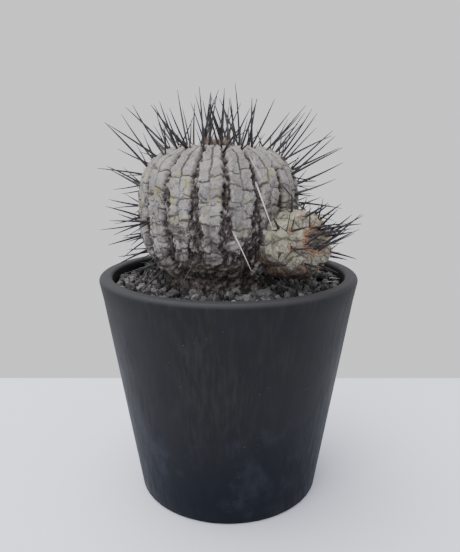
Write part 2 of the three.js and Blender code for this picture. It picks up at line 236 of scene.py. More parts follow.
class GeometrySketch(NodeSketch):
    # inputs maps each named input to (socket type, default)
    def __init__(self, name, inputs):
        super().__init__(bpy.data.node_groups.new(name, "GeometryNodeTree"))
        face = self.tree.interface
        face.new_socket("Geometry", in_out="INPUT", socket_type="NodeSocketGeometry")
        for label, (kind, value) in inputs.items():
            socket = face.new_socket(label, in_out="INPUT", socket_type=kind)
            if kind != "NodeSocketMaterial":
                socket.default_value = value
        face.new_socket("Geometry", in_out="OUTPUT", socket_type="NodeSocketGeometry")
        self.given = self.add("NodeGroupInput").outputs

    def read(self, name, kind="FLOAT"):
        node = self.add("GeometryNodeInputNamedAttribute", {"Name": name}, data_type=kind)
        return node.outputs["Attribute"]

    def randomValue(self, kind, low, high, seed):
        node = self.add("FunctionNodeRandomValue", data_type=kind)
        sockets = {"FLOAT_VECTOR": (0, 1, 0), "FLOAT": (2, 3, 1), "INT": (4, 5, 2)}
        lowInput, highInput, output = sockets[kind]
        fill(self.tree, node, {lowInput: low, highInput: high, "Seed": seed})
        return node.outputs[output]

    def finish(self, geometry, smooth=True):
        whole = self.add("GeometryNodeRealizeInstances", {"Geometry": geometry}).outputs["Geometry"]
        shaded = self.add("GeometryNodeSetShadeSmooth", {"Geometry": whole, "Shade Smooth": smooth})
        painted = self.add("GeometryNodeSetMaterial", {
            "Geometry": shaded.outputs["Geometry"], "Material": self.given["Material"]})
        self.add("NodeGroupOutput", {"Geometry": painted.outputs["Geometry"]})
        return self.tree


# Runs a tree on a mesh and gives back the result as a plain mesh object.
def grow(name, tree, sourceMesh, values):
    source = linked(name + "Source", sourceMesh)
    modifier = source.modifiers.new("grow", "NODES")
    modifier.node_group = tree
    for item in tree.interface.items_tree:
        if item.in_out == "INPUT" and item.name in values:
            modifier[item.identifier] = values[item.name]
    depsgraph = bpy.context.evaluated_depsgraph_get()
    grown = bpy.data.meshes.new_from_object(source.evaluated_get(depsgraph), depsgraph=depsgraph)
    source.modifiers.remove(modifier)
    bpy.data.objects.remove(source)
    grown.name = name
    return linked(name, grown)


# attributes holds one number per point under each name
def meshObject(name, points, faces, material, attributes=None):
    mesh = bpy.data.meshes.new(name)
    mesh.from_pydata([tuple(p) for p in points], [], faces)
    for label, values in (attributes or {}).items():
        layer = mesh.attributes.new(label, "FLOAT", "POINT")
        layer.data.foreach_set("value", np.asarray(values, dtype=np.float32))
    mesh.materials.append(material)
    mesh.shade_smooth()
    return linked(name, mesh)


# Nodes are the CAD nodes that the piece stands in for.
def place(piece, slotName, *nodes):
    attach(piece, root)
    if nodes:
        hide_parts(*nodes)


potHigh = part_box("pot")[1]
pot = {
    "topRadius": potHigh[0],
    "baseRadius": 43.2 * mm,
    "height": potHigh[2],
    "wall": 6 * mm,                # measured level, the same all the way up
    "floor": 6 * mm,
    "rimOuterRound": 2.0 * mm,
    "rimInnerRound": 1.4 * mm,
    "footRound": 1.2 * mm,
    "segments": 180,
    "wallSteps": 14,
    "cornerSteps": 8,
    "capRadius": 2 * mm,           # innermost ring of the floor, closed by one flat face
    "drainCount": 4,               # on the diagonals
    "drainRing": 24 * mm,
    "holeRadius": 3.5 * mm,
    "holeSegments": 28,
    "channelWidth": 6 * mm,        # each links a front hole and a back hole and leaves at the back
    "channelDepth": 1.6 * mm,
    "sharpAngle": 35,
    "rimShineFrom": 2.4 * mm,      # below the top: where the painted highlight round the rim starts to turn it pale
    "rimShineFull": 0.6 * mm,
}
potColours = {
    "plastic": (0.008, 0.0079, 0.0087),
    "streak": (0.020, 0.0193, 0.0198),
    "scuff": (0.0075, 0.0077, 0.0095),
    "cloudy": (0.0095, 0.010, 0.0125),
    # painted shade colour, darker and bluer, laid on towards the foot
    "paintedShadeLow": (0.0012, 0.003, 0.0075),
    "dust": (0.036, 0.042, 0.055),
    # painted highlight colour for the band round the top of the rim
    "rim": (0.045, 0.045, 0.051),
    "speck": (0.2, 0.2, 0.2),
}


def potRadius(height):
    return pot["baseRadius"] + (pot["topRadius"] - pot["baseRadius"]) * height / pot["height"]


# The rounded edge of the rim, from the outside up and over, or from the top down to the inside.
def roundedCorner(radius, height, round, outward):
    corner = []
    for step in range(pot["cornerSteps"] + 1):
        angle = math.radians(90 * step / pot["cornerSteps"])
        byCosine = round * (1 - math.cos(angle))
        bySine = round * (1 - math.sin(angle))
        if outward:
            corner.append((radius - byCosine, height - bySine))
        else:
            corner.append((radius + bySine, height - byCosine))
    return corner


def revolvedPoints(outline, segments):
    points = []
    for radius, height in outline:
        for k in range(segments):
            turn = 2 * math.pi * k / segments
            points.append((radius * math.cos(turn), radius * math.sin(turn), height))
    return points


def revolvedFaces(rows, segments):
    faces = []
    for j in range(rows - 1):
        for k in range(segments):
            after = (k + 1) % segments
            faces.append((j * segments + k, j * segments + after,
                          (j + 1) * segments + after, (j + 1) * segments + k))
    return faces


def cutWith(target, cutter):
    modifier = target.modifiers.new("cut", "BOOLEAN")
    modifier.operation = "DIFFERENCE"
    modifier.object = cutter
    modifier.solver = "EXACT"
    depsgraph = bpy.context.evaluated_depsgraph_get()
    cut = bpy.data.meshes.new_from_object(target.evaluated_get(depsgraph), depsgraph=depsgraph)
    target.modifiers.remove(modifier)
    target.data = cut
    bpy.data.objects.remove(cutter)


# Radius and height from under the foot, up the outside, over the rim and down to the floor.
def potOutline():
    foot, floor, height = pot["footRound"], pot["floor"], pot["height"]
    footRadius = pot["baseRadius"] - foot
    wallHeights = np.linspace(foot, height - pot["rimOuterRound"], pot["wallSteps"])
    outline = [(pot["capRadius"], 0), (footRadius, 0)]
    outline += [(footRadius + foot * math.sin(a), foot * (1 - math.cos(a))) for a in (0.5, 1.0)]
    outline += [(potRadius(z), z) for z in wallHeights[:-1]]
    outline += roundedCorner(pot["topRadius"], height, pot["rimOuterRound"], True)
    outline += roundedCorner(pot["topRadius"] - pot["wall"], height, pot["rimInnerRound"], False)
    outline += [(potRadius(floor) - pot["wall"], floor), (pot["capRadius"], floor)]
    return outline


def channelCutter():
    across = pot["drainRing"] * math.sqrt(0.5)
    length = pot["topRadius"] + across
    size = Matrix.Diagonal((pot["channelWidth"], length, pot["channelDepth"] * 2, 1))
    work = bmesh.new()
    for x in (-across, across):
        middle = Matrix.Translation((x, length / 2 - across, 0))
        bmesh.ops.create_cube(work, size=1, matrix=middle @ size)
    mesh = bpy.data.meshes.new("channels")
    work.to_mesh(mesh)
    work.free()
    return linked("channels", mesh)


def drainDrill(number):
    turn = 2 * math.pi * (number + 0.5) / pot["drainCount"]
    spot = Matrix.Translation((pot["drainRing"] * math.cos(turn), pot["drainRing"] * math.sin(turn), 0))
    work = bmesh.new()
    bmesh.ops.create_cone(work, cap_ends=True, segments=pot["holeSegments"], radius1=pot["holeRadius"],
                          radius2=pot["holeRadius"], depth=pot["floor"] * 3, matrix=spot)
    mesh = bpy.data.meshes.new("drill")
    work.to_mesh(mesh)
    work.free()
    return linked("drill", mesh)


def makePot():
    outline = potOutline()
    segments = pot["segments"]
    faces = revolvedFaces(len(outline), segments)
    lastRow = (len(outline) - 1) * segments
    faces.append(tuple(reversed(range(segments))))
    faces.append(tuple(range(lastRow, lastRow + segments)))
    piece = meshObject("potBody", revolvedPoints(outline, segments), faces, makePotPlastic())
    cutWith(piece, channelCutter())
    for number in range(pot["drainCount"]):
        cutWith(piece, drainDrill(number))
    piece.data.shade_smooth()
    piece.data.set_sharp_from_angle(angle=math.radians(pot["sharpAngle"]))
    return piece


def makePotPlastic():
    paint = PaintSketch("charcoalPlastic")
    tones = potColours
    streaks = paint.cloud(560, 5, 0.65, paint.stretched((1, 1, 0.05)))
    scuffs = paint.cloud(120, 4, 0.6, paint.stretched((1, 1, 0.3)))
    broad = paint.cloud(30, 3, 0.5, paint.stretched((1, 1, 0.45)))
    patches = paint.cloud(55, 5, 0.6, paint.stretched((1, 1, 0.7)))
    height = paint.add("ShaderNodeSeparateXYZ", {"Vector": paint.place}).outputs["Z"]
    # painted shade: the pot turns darker and bluer towards its foot
    low = paint.band(height, 0.07, 0.012)
    dust = paint.times(paint.band(patches, 0.5, 0.68), paint.band(height, 0.07, 0.035))
    specks = paint.band(paint.cells(420), 0.09, 0.03)
    specks = paint.times(specks, paint.band(paint.cloud(70, 2), 0.56, 0.66))
    # painted highlight: the band round the top of the rim is painted paler
    rim = paint.band(height, pot["height"] - pot["rimShineFrom"], pot["height"] - pot["rimShineFull"])
    colour = paint.mix(paint.band(streaks, 0.35, 0.7), tones["plastic"], tones["streak"])
    colour = paint.mix(paint.band(scuffs, 0.5, 0.66, 0, 0.7), colour, tones["scuff"])
    colour = paint.mix(paint.band(broad, 0.4, 0.65, 0, 0.6), colour, tones["cloudy"])
    colour = paint.mix(paint.times(low, 0.85), colour, tones["paintedShadeLow"])
    colour = paint.mix(paint.times(dust, 0.28), colour, tones["dust"])
    colour = paint.mix(paint.times(rim, 0.6), colour, tones["rim"])
    colour = paint.mix(paint.times(specks, 0.6), colour, tones["speck"])
    rough = paint.band(streaks, 0.3, 0.75, 0.5, 0.66)
    normal = paint.bump(paint.cloud(1500, 3), 0.25, 0.08 * mm)
    normal = paint.bump(streaks, 0.12, 0.15 * mm, normal)
    return paint.finish(colour, rough, normal, **{"Specular IOR Level": 0.14})


potPiece = makePot()
place(potPiece, "pot_plastic", "pot")
print("pot done")


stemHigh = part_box("cactus_stem")[1]
crownHeight = stemHigh[2]
stem = {
    "radius": 36.3 * mm,
    "centre": Vector((-4.7 * mm, 1.5 * mm, crownHeight - 31.0 * mm)),
    "axis": Vector((0, 0, 1)),
    "upper": 30.6 * mm,            # widest level to crown
    "lower": 38 * mm,              # half height of the ellipse under the widest level
    "fullness": 3.2,               # exponent of the crown's outline: 2 is round, more is boxier
    "collarRadius": 25.5 * mm,
    "footDepth": 35.5 * mm,        # below the widest level
    "ribs": 17,
    "firstTurn": math.radians(-83.5),
    "perRib": 28,                  # points across a rib
    "rows": 190,
    "sunken": 1.2 * mm,
    "areoleStart": 7.0 * mm,       # walked from the crown
    "areoleSpacing": 7.6 * mm,
    "seed": 4,
}
outlineDetail = {
    "upperPoints": 500,
    "lowerPoints": 300,
    "firstRow": 0.4 * mm,
    "footInset": 1.0 * mm,
    "sunkenWidth": 0.28,           # of the radius
    "columnSway": 0.035,           # of a rib pitch
    "bareFoot": 8 * mm,            # the last stretch of a column, with no areoles
}


# The outline from crown to foot as evenly spaced rows: distance walked, radius, height and the
# outward direction.
def outlineOf(shape):
    turn = np.linspace(np.pi / 2, 0, outlineDetail["upperPoints"])
    radius = shape["radius"] * np.cos(turn).clip(0) ** (2 / shape["fullness"])
    height = shape["upper"] * np.sin(turn) ** (2 / shape["fullness"])
    height -= shape["sunken"] * np.exp(-(radius / (outlineDetail["sunkenWidth"] * shape["radius"])) ** 2)
    lowTurn = np.linspace(0, np.pi / 2, outlineDetail["lowerPoints"])[1:]
    lowRadius = shape["radius"] * np.cos(lowTurn)
    lowHeight = -shape["lower"] * np.sin(lowTurn)
    kept = (lowRadius > shape["collarRadius"]) & (lowHeight > -shape["footDepth"])
    radius = np.concatenate([radius, lowRadius[kept]])
    height = np.concatenate([height, lowHeight[kept]])
    footRadius = max(radius[-1] - outlineDetail["footInset"], 1 * mm)
    radius = np.append(radius, footRadius)
    height = np.append(height, min(-shape["footDepth"], height[-1] - 0.1 * mm))
    walked = np.concatenate([[0], np.cumsum(np.hypot(np.diff(radius), np.diff(height)))])
    even = np.linspace(outlineDetail["firstRow"], walked[-1], shape["rows"])
    rowRadius = np.interp(even, walked, radius)
    rowHeight = np.interp(even, walked, height)
    slopeR = np.gradient(rowRadius, even)
    slopeZ = np.gradient(rowHeight, even)
    length = np.hypot(slopeR, slopeZ)
    return {"walk": even, "radius": rowRadius, "height": rowHeight,
            "outR": -slopeZ / length, "outZ": slopeR / length}


def smoothStep(value, low, high):
    share = ((value - low) / (high - low)).clip(0, 1)
    return share * share * (3 - 2 * share)


# A gentle wandering line for each rib, in -1..1, along the distance walked.
class Wander:
    waves = ((17 * mm, 0.5), (8.3 * mm, 0.28), (3.9 * mm, 0.18), (1.9 * mm, 0.12))

    def __init__(self, ribs, seed):
        self.phases = np.random.default_rng(seed).uniform(0, 2 * np.pi, (ribs, len(self.waves)))

    def at(self, rib, walk):
        phases = self.phases[rib % len(self.phases)]
        return sum(size * np.sin(2 * np.pi * walk / length + phases[..., n])
                   for n, (length, size) in enumerate(self.waves))


def fractalAt(points, scale, octaves=4):
    return np.array([noise.fractal(Vector(p) * scale, 0.7, 2.1, octaves) for p in points])


# A grown stem: its rows, the columns of areoles down its ribs, and its place in the pot.
class RibbedStem:
    def __init__(self, shape):
        self.shape = shape
        self.rows = outlineOf(shape)
        ribs = shape["ribs"]
        seed = shape["seed"]
        self.centreWander = Wander(ribs, seed)
        self.leftWander = Wander(ribs, seed + 1)
        self.rightWander = Wander(ribs, seed + 2)
        self.furrowWander = Wander(ribs, seed + 3)
        rng = np.random.default_rng(seed + 4)
        self.areoles = []
        for rib in range(ribs):
            walk = shape["areoleStart"] * rng.uniform(0.8, 1.2)
            spots = []
            while walk < self.rows["walk"][-1] - outlineDetail["bareFoot"]:
                spots.append(walk)
                walk += shape["areoleSpacing"] * rng.uniform(0.88, 1.12)
            self.areoles.append(spots)
        turnTo = Vector((0, 0, 1)).rotation_difference(shape["axis"]).to_matrix().to_4x4()
        self.matrix = Matrix.Translation(shape["centre"]) @ turnTo

    def columnCentre(self, rib, walk):
        return outlineDetail["columnSway"] * self.centreWander.at(rib, walk)

    def row(self, walk):
        return {key: np.interp(walk, self.rows["walk"], values) for key, values in self.rows.items()}

    # A point and its outward, crownward and sideways directions, in the object's own frame.
    def spot(self, rib, walk, lift=0.0):
        row = self.row(walk)
        pitch = 2 * math.pi / self.shape["ribs"]
        turn = self.shape["firstTurn"] + (rib + self.columnCentre(rib, walk)) * pitch
        around = Vector((math.cos(turn), math.sin(turn), 0))
        out = (around * row["outR"] + Vector((0, 0, row["outZ"]))).normalized()
        side = Vector((-math.sin(turn), math.cos(turn), 0))
        up = out.cross(side) * -1
        if up.z < 0 and abs(row["outZ"]) < 0.999:
            up = -up
        point = around * float(row["radius"]) + Vector((0, 0, float(row["height"]))) + out * lift
        spin = self.matrix.to_3x3()
        return self.matrix @ point, spin @ out, spin @ up, spin @ side

    def grid(self):
        shape = self.shape
        count = shape["ribs"] * shape["perRib"]
        across = np.arange(count) / shape["perRib"]
        rib, walkIndex = np.meshgrid(across, np.arange(shape["rows"]))
        rows = {key: values[walkIndex] for key, values in self.rows.items()}
        return rib, rows

    # lift moves each point outwards; attributes are grids like it
    def mesh(self, name, material, lift, attributes):
        rib, rows = self.grid()
        turn = self.shape["firstTurn"] + rib * 2 * np.pi / self.shape["ribs"]
        radius = rows["radius"] + rows["outR"] * lift
        points = np.stack([radius * np.cos(turn), radius * np.sin(turn),
                           rows["height"] + rows["outZ"] * lift], axis=-1)
        count = points.shape[1]
        flat = points.reshape(-1, 3)
        crown = points[0].mean(axis=0)
        foot = points[-1].mean(axis=0)
        flat = np.vstack([flat, crown, foot])
        flat = flat @ np.array(self.matrix.to_3x3()).T + np.array(self.matrix.translation)
        faces = [face[::-1] for face in revolvedFaces(points.shape[0], count)]
        crownIndex = len(flat) - 2
        lastRow = (points.shape[0] - 1) * count
        faces += [(crownIndex, k, (k + 1) % count) for k in range(count)]
        faces += [(crownIndex + 1, lastRow + (k + 1) % count, lastRow + k) for k in range(count)]
        values = {}
        for label, grid in attributes.items():
            plain = grid.reshape(-1)
            values[label] = np.append(plain, [grid[0].mean(), grid[-1].mean()])
        return meshObject(name, flat, faces, material, values)


stemForm = RibbedStem(stem)


skinRelief = {
    "columnDepth": 1.5 * mm,
    "plateRise": 0.55 * mm,
    "rimRise": 0.4 * mm,
    "furrowDepth": 0.6 * mm,
    "furrowHalf": 0.42 * mm,
    "crackDepth": 0.7 * mm,
    "columnHalfTop": 0.05,         # of a rib pitch, at the shoulder
    "columnHalfMiddle": 0.11,
    "columnHalfLow": 0.16,
    "edgeSway": 0.33,              # of the column's half width
    "pitHalf": 1.1 * mm,           # a column widens round each areole
    "pitLength": 1.3 * mm,
    "pitsUntil": 34 * mm,          # walked from the crown; older areoles leave shallower pits
    "edgeRoughness": 1.5 * mm,
    "wornTurn": -80,               # degrees from +X: where the plates are most broken, low down
    "wornWidth": 24,
    "wornDepth": 7.5 * mm,
    "lostPatch": 3.2 * mm,         # old plates fall away in patches
    "crackStart": 26 * mm,
    "crackStartSpread": 12 * mm,
    "crackEnd": 100 * mm,
    "crackSpacing": (5.5 * mm, 10.5 * mm),
    "crackWidth": (0.35 * mm, 0.75 * mm),
    "crackTilt": 3 * mm,
    "crackBow": 1.4 * mm,
    "crackWander": 0.9 * mm,
    "levelChance": 0.55,           # chance that both halves of a plate crack at the same level
    "levelShift": 1.2 * mm,
    "blockStep": 1.1 * mm,         # how far neighbouring blocks stand above each other, low down
    "lump": 0.8 * mm,
    "corkTop": 106.5 * mm,         # above the ground
    "corkRise": 9.2 * mm,          # how much higher the cork reaches at the front
    "corkSink": 0.6 * mm,
    "highest": 0.95 * mm,          # nothing stands further off the smooth outline
}
skinColours = {
    "chalk": (0.268, 0.256, 0.245),
    "shadedChalk": (0.172, 0.163, 0.159),
    "paleBlock": (0.43, 0.408, 0.408),
    "dimBlock": (0.14, 0.128, 0.124),
    "greySpeck": (0.115, 0.104, 0.10),
    "smudge": (0.15, 0.135, 0.13),
    "whiteSpeck": (0.40, 0.385, 0.37),
    "livingSkin": (0.27, 0.26, 0.10),
    "brownSpeckle": (0.10, 0.085, 0.075),
    "dirt": (0.085, 0.070, 0.065),
    # painted highlight colour for the plates' raised edges
    "paintedEdgeHighlight": (0.45, 0.43, 0.41),
    "chipCrack": (0.10, 0.088, 0.083),
    "tileCrack": (0.05, 0.041, 0.038),
    "deepCrack": (0.055, 0.043, 0.038),
    "felt": ((0.012, 0.010, 0.010), (0.068, 0.052, 0.051), (0.26, 0.235, 0.225), (0.15, 0.122, 0.118)),
    "bark": ((0.022, 0.017, 0.016), (0.10, 0.081, 0.073), (0.20, 0.172, 0.158), (0.03, 0.024, 0.021),
             (0.16, 0.138, 0.126)),
}


def columnHalfAt(look, walk):
    stops = (0, 18 * mm, 32 * mm, 48 * mm, 70 * mm, 120 * mm)
    widths = (0.05, look["columnHalfTop"], look["columnHalfTop"] * 1.3,
              look["columnHalfMiddle"], look["columnHalfLow"], look["columnHalfLow"])
    return np.interp(walk, stops, widths)


# The cracks across one half of a plate, from the crown down, with all that is random about each.
def crossCracks(rng, look, at):
    cracks = []
    while at < look["crackEnd"]:
        cracks.append({
            "at": at,
            "tilt": rng.uniform(-1, 1) * look["crackTilt"],
            "bow": rng.uniform(-1, 1) * look["crackBow"],
            "strength": rng.uniform(0.7, 1.0) * (0.6 if at < 36 * mm else 1.0),
            "width": rng.uniform(*look["crackWidth"]),
            "whole": rng.uniform(0.2, 0.9),      # the less, the more gaps the crack has
            "shade": rng.uniform(0, 1),
        })
        at += rng.uniform(*look["crackSpacing"]) * (0.8 if at > 60 * mm else 1.0)
    return cracks


# Cross cracks in every half plate: groove depth, signed distance to the nearest crack, that crack's
# strength, and a random number for the block below it.
def crackField(form, look, rib, share, walk, ragged):
    rng = np.random.default_rng(form.shape["seed"] + 9)
    fields = np.zeros((4, *walk.shape))
    start = 0
    for plate in range(form.shape["ribs"]):
        for half in (0, 1):
            otherStart = start
            start = look["crackStart"] + rng.uniform(0, 1) * look["crackStartSpread"]
            if half == 1 and rng.random() < look["levelChance"]:
                start = otherStart + rng.uniform(-1, 1) * look["levelShift"]
            mine = (rib == plate) & ((share >= 0.5) == (half == 1))
            along = walk[mine] + look["crackWander"] * ragged[mine]
            middle = share[mine] - 0.5
            depth, power, block = np.zeros((3, *along.shape))
            nearest = np.ones_like(along)        # a metre, so any crack is nearer
            for crack in crossCracks(rng, look, start):
                lineAt = crack["at"] + crack["tilt"] * middle + crack["bow"] * (1 - 4 * middle ** 2)
                away = along - lineAt
                strength = crack["strength"] * smoothStep(ragged[mine] + crack["whole"], -0.15, 0.15)
                closer = np.abs(away) < np.abs(nearest)
                depth = np.maximum(depth, strength * np.exp(-(away / crack["width"]) ** 2))
                nearest = np.where(closer, away, nearest)
                power = np.where(closer, strength, power)
                block = np.where(away > 0, crack["shade"], block)
            fields[:, mine] = depth, nearest, power, block
    return fields


# How much a column swells at each point, which is most beside its areoles.
def areoleSwell(form, look, column, walk):
    swell = np.zeros_like(walk)
    for rib, spots in enumerate(form.areoles):
        here = column == rib
        for spot in spots:
            size = 1 if spot < look["pitsUntil"] else 0.3
            near = np.exp(-((walk[here] - spot) / look["pitLength"]) ** 2) * size
            swell[here] = np.maximum(swell[here], near)
    return swell


def stemSurface(form, look):
    shape = form.shape
    rib, rows = form.grid()
    walk = rows["walk"]
    left = np.floor(rib).astype(int)
    share = rib - left
    right = (left + 1) % shape["ribs"]
    pitchWidth = 2 * np.pi * rows["radius"] / shape["ribs"]
    half = columnHalfAt(look, walk)
    pit = 0.6 * look["pitHalf"] / pitchWidth.clip(3 * mm)
    leftHalf = half * (1 + look["edgeSway"] * form.rightWander.at(left, walk))
    leftHalf = leftHalf + pit * areoleSwell(form, look, left, walk)
    leftEdge = form.columnCentre(left, walk) + leftHalf
    rightHalf = half * (1 + look["edgeSway"] * form.leftWander.at(right, walk))
    rightHalf = rightHalf + pit * areoleSwell(form, look, right, walk)
    rightEdge = 1 + form.columnCentre(right, walk) - rightHalf
    turn = shape["firstTurn"] + rib * 2 * np.pi / shape["ribs"]
    flat = np.stack([rows["radius"] * np.cos(turn), rows["radius"] * np.sin(turn), rows["height"]],
                    axis=-1).reshape(-1, 3)
    broadNoise = fractalAt(flat, 70, 3).reshape(walk.shape)
    raggedNoise = fractalAt(flat + 0.77, 260, 4).reshape(walk.shape)
    fineNoise = fractalAt(flat + 0.37, 620, 4).reshape(walk.shape)
    fibreNoise = fractalAt(flat * np.array([1, 1, 0.5]) - 0.21, 800, 4).reshape(walk.shape)
    age = smoothStep(walk, 30 * mm, 95 * mm)

    inside = np.minimum(share - leftEdge, rightEdge - share) * pitchWidth
    wornTurn = (turn - math.radians(look["wornTurn"]) + np.pi) % (2 * np.pi) - np.pi
    worn = np.exp(-(wornTurn / math.radians(look["wornWidth"])) ** 2)
    worn = worn * smoothStep(walk, 54 * mm, 72 * mm)
    raggedEdge = look["edgeRoughness"] * (0.35 + 0.65 * smoothStep(walk, 24 * mm, 60 * mm))
    inside = inside + raggedEdge * raggedNoise + 0.45 * raggedEdge * fineNoise
    inside = inside - look["wornDepth"] * worn * (0.6 + 1.2 * broadNoise)
    inside = inside - look["lostPatch"] * smoothStep(broadNoise + 0.35 * raggedNoise, 0.42, 0.62) * age
    furrowAt = 0.5 + 0.05 * form.furrowWander.at(left, walk)
    furrowAway = (share - furrowAt) * pitchWidth
    crack, seam, seamPower, block = crackField(form, look, left, share, walk, raggedNoise)

    fade = (rows["radius"] / (0.5 * shape["radius"])).clip(0.15, 1)
    onPlate = smoothStep(inside, -0.3 * mm, 0.9 * mm)
    level = rows["height"] + shape["centre"].z
    facing = -np.sin(turn + math.radians(2))
    corkTop = (look["corkTop"] + look["corkRise"] * smoothStep(facing, 0.78, 0.93)
               + 1.2 * mm * form.furrowWander.at(left, share * 9 * mm) + 1.6 * mm * broadNoise)
    cork = smoothStep(corkTop - level, -0.4 * mm, 0.9 * mm)
    started = smoothStep(walk, 24 * mm, 30 * mm)

    plate = (look["plateRise"] * (1 - 0.25 * (2 * share - 1) ** 2)
             + look["rimRise"] * np.exp(-((inside - 1.0 * mm) / (0.6 * mm)) ** 2)
             - look["furrowDepth"] * np.exp(-(furrowAway / look["furrowHalf"]) ** 2)
             - look["crackDepth"] * crack * started
             + 0.22 * mm * fineNoise + 0.3 * mm * raggedNoise + look["blockStep"] * (block - 0.5) * age)
    column = -look["columnDepth"] + 1.0 * mm * fibreNoise + 0.5 * mm * fineNoise
    lift = fade * (column * (1 - onPlate) + plate * onPlate) + look["lump"] * broadNoise * fade
    collar = -look["corkSink"] + 0.6 * mm * raggedNoise + 0.55 * mm * fineNoise
    lift = lift * (1 - cork) + collar * cork
    lift = np.minimum(lift, look["highest"])

    fading = 0.5 + 0.5 * np.sin(left * 2.4)      # some furrows fade out sooner than others
    furrowPower = 1 - (0.55 + 0.45 * fading) * smoothStep(walk, 34 * mm, 46 * mm)
    margin = smoothStep(1.8 * mm - inside, 0, 1.4 * mm)
    margin = margin * smoothStep(raggedNoise + 0.7 * fineNoise, -0.15, 0.3)
    attributes = {
        "margin": margin * (0.35 + 0.65 * smoothStep(walk, 20 * mm, 45 * mm)) * (1 - cork),
        "border": (inside / (2 * mm)).clip(-1, 1),
        "rough": 0.5 + 0.5 * (fibreNoise * (1 - cork) + (0.5 * raggedNoise + 0.7 * fineNoise) * cork),
        "stain": 0.5 + 0.5 * raggedNoise,
        "seam": (seam / (2 * mm)).clip(-1, 1),
        "seamAway": np.abs(seam / (2 * mm)).clip(0, 1),
        "seamPower": seamPower * started,
        "furrow": (furrowAway / (2 * mm)).clip(-1, 1),
        "furrowPower": furrowPower,
        "age": age,
        "cork": cork,
        "block": block,
        "walk": walk / (100 * mm),
    }
    return lift, attributes


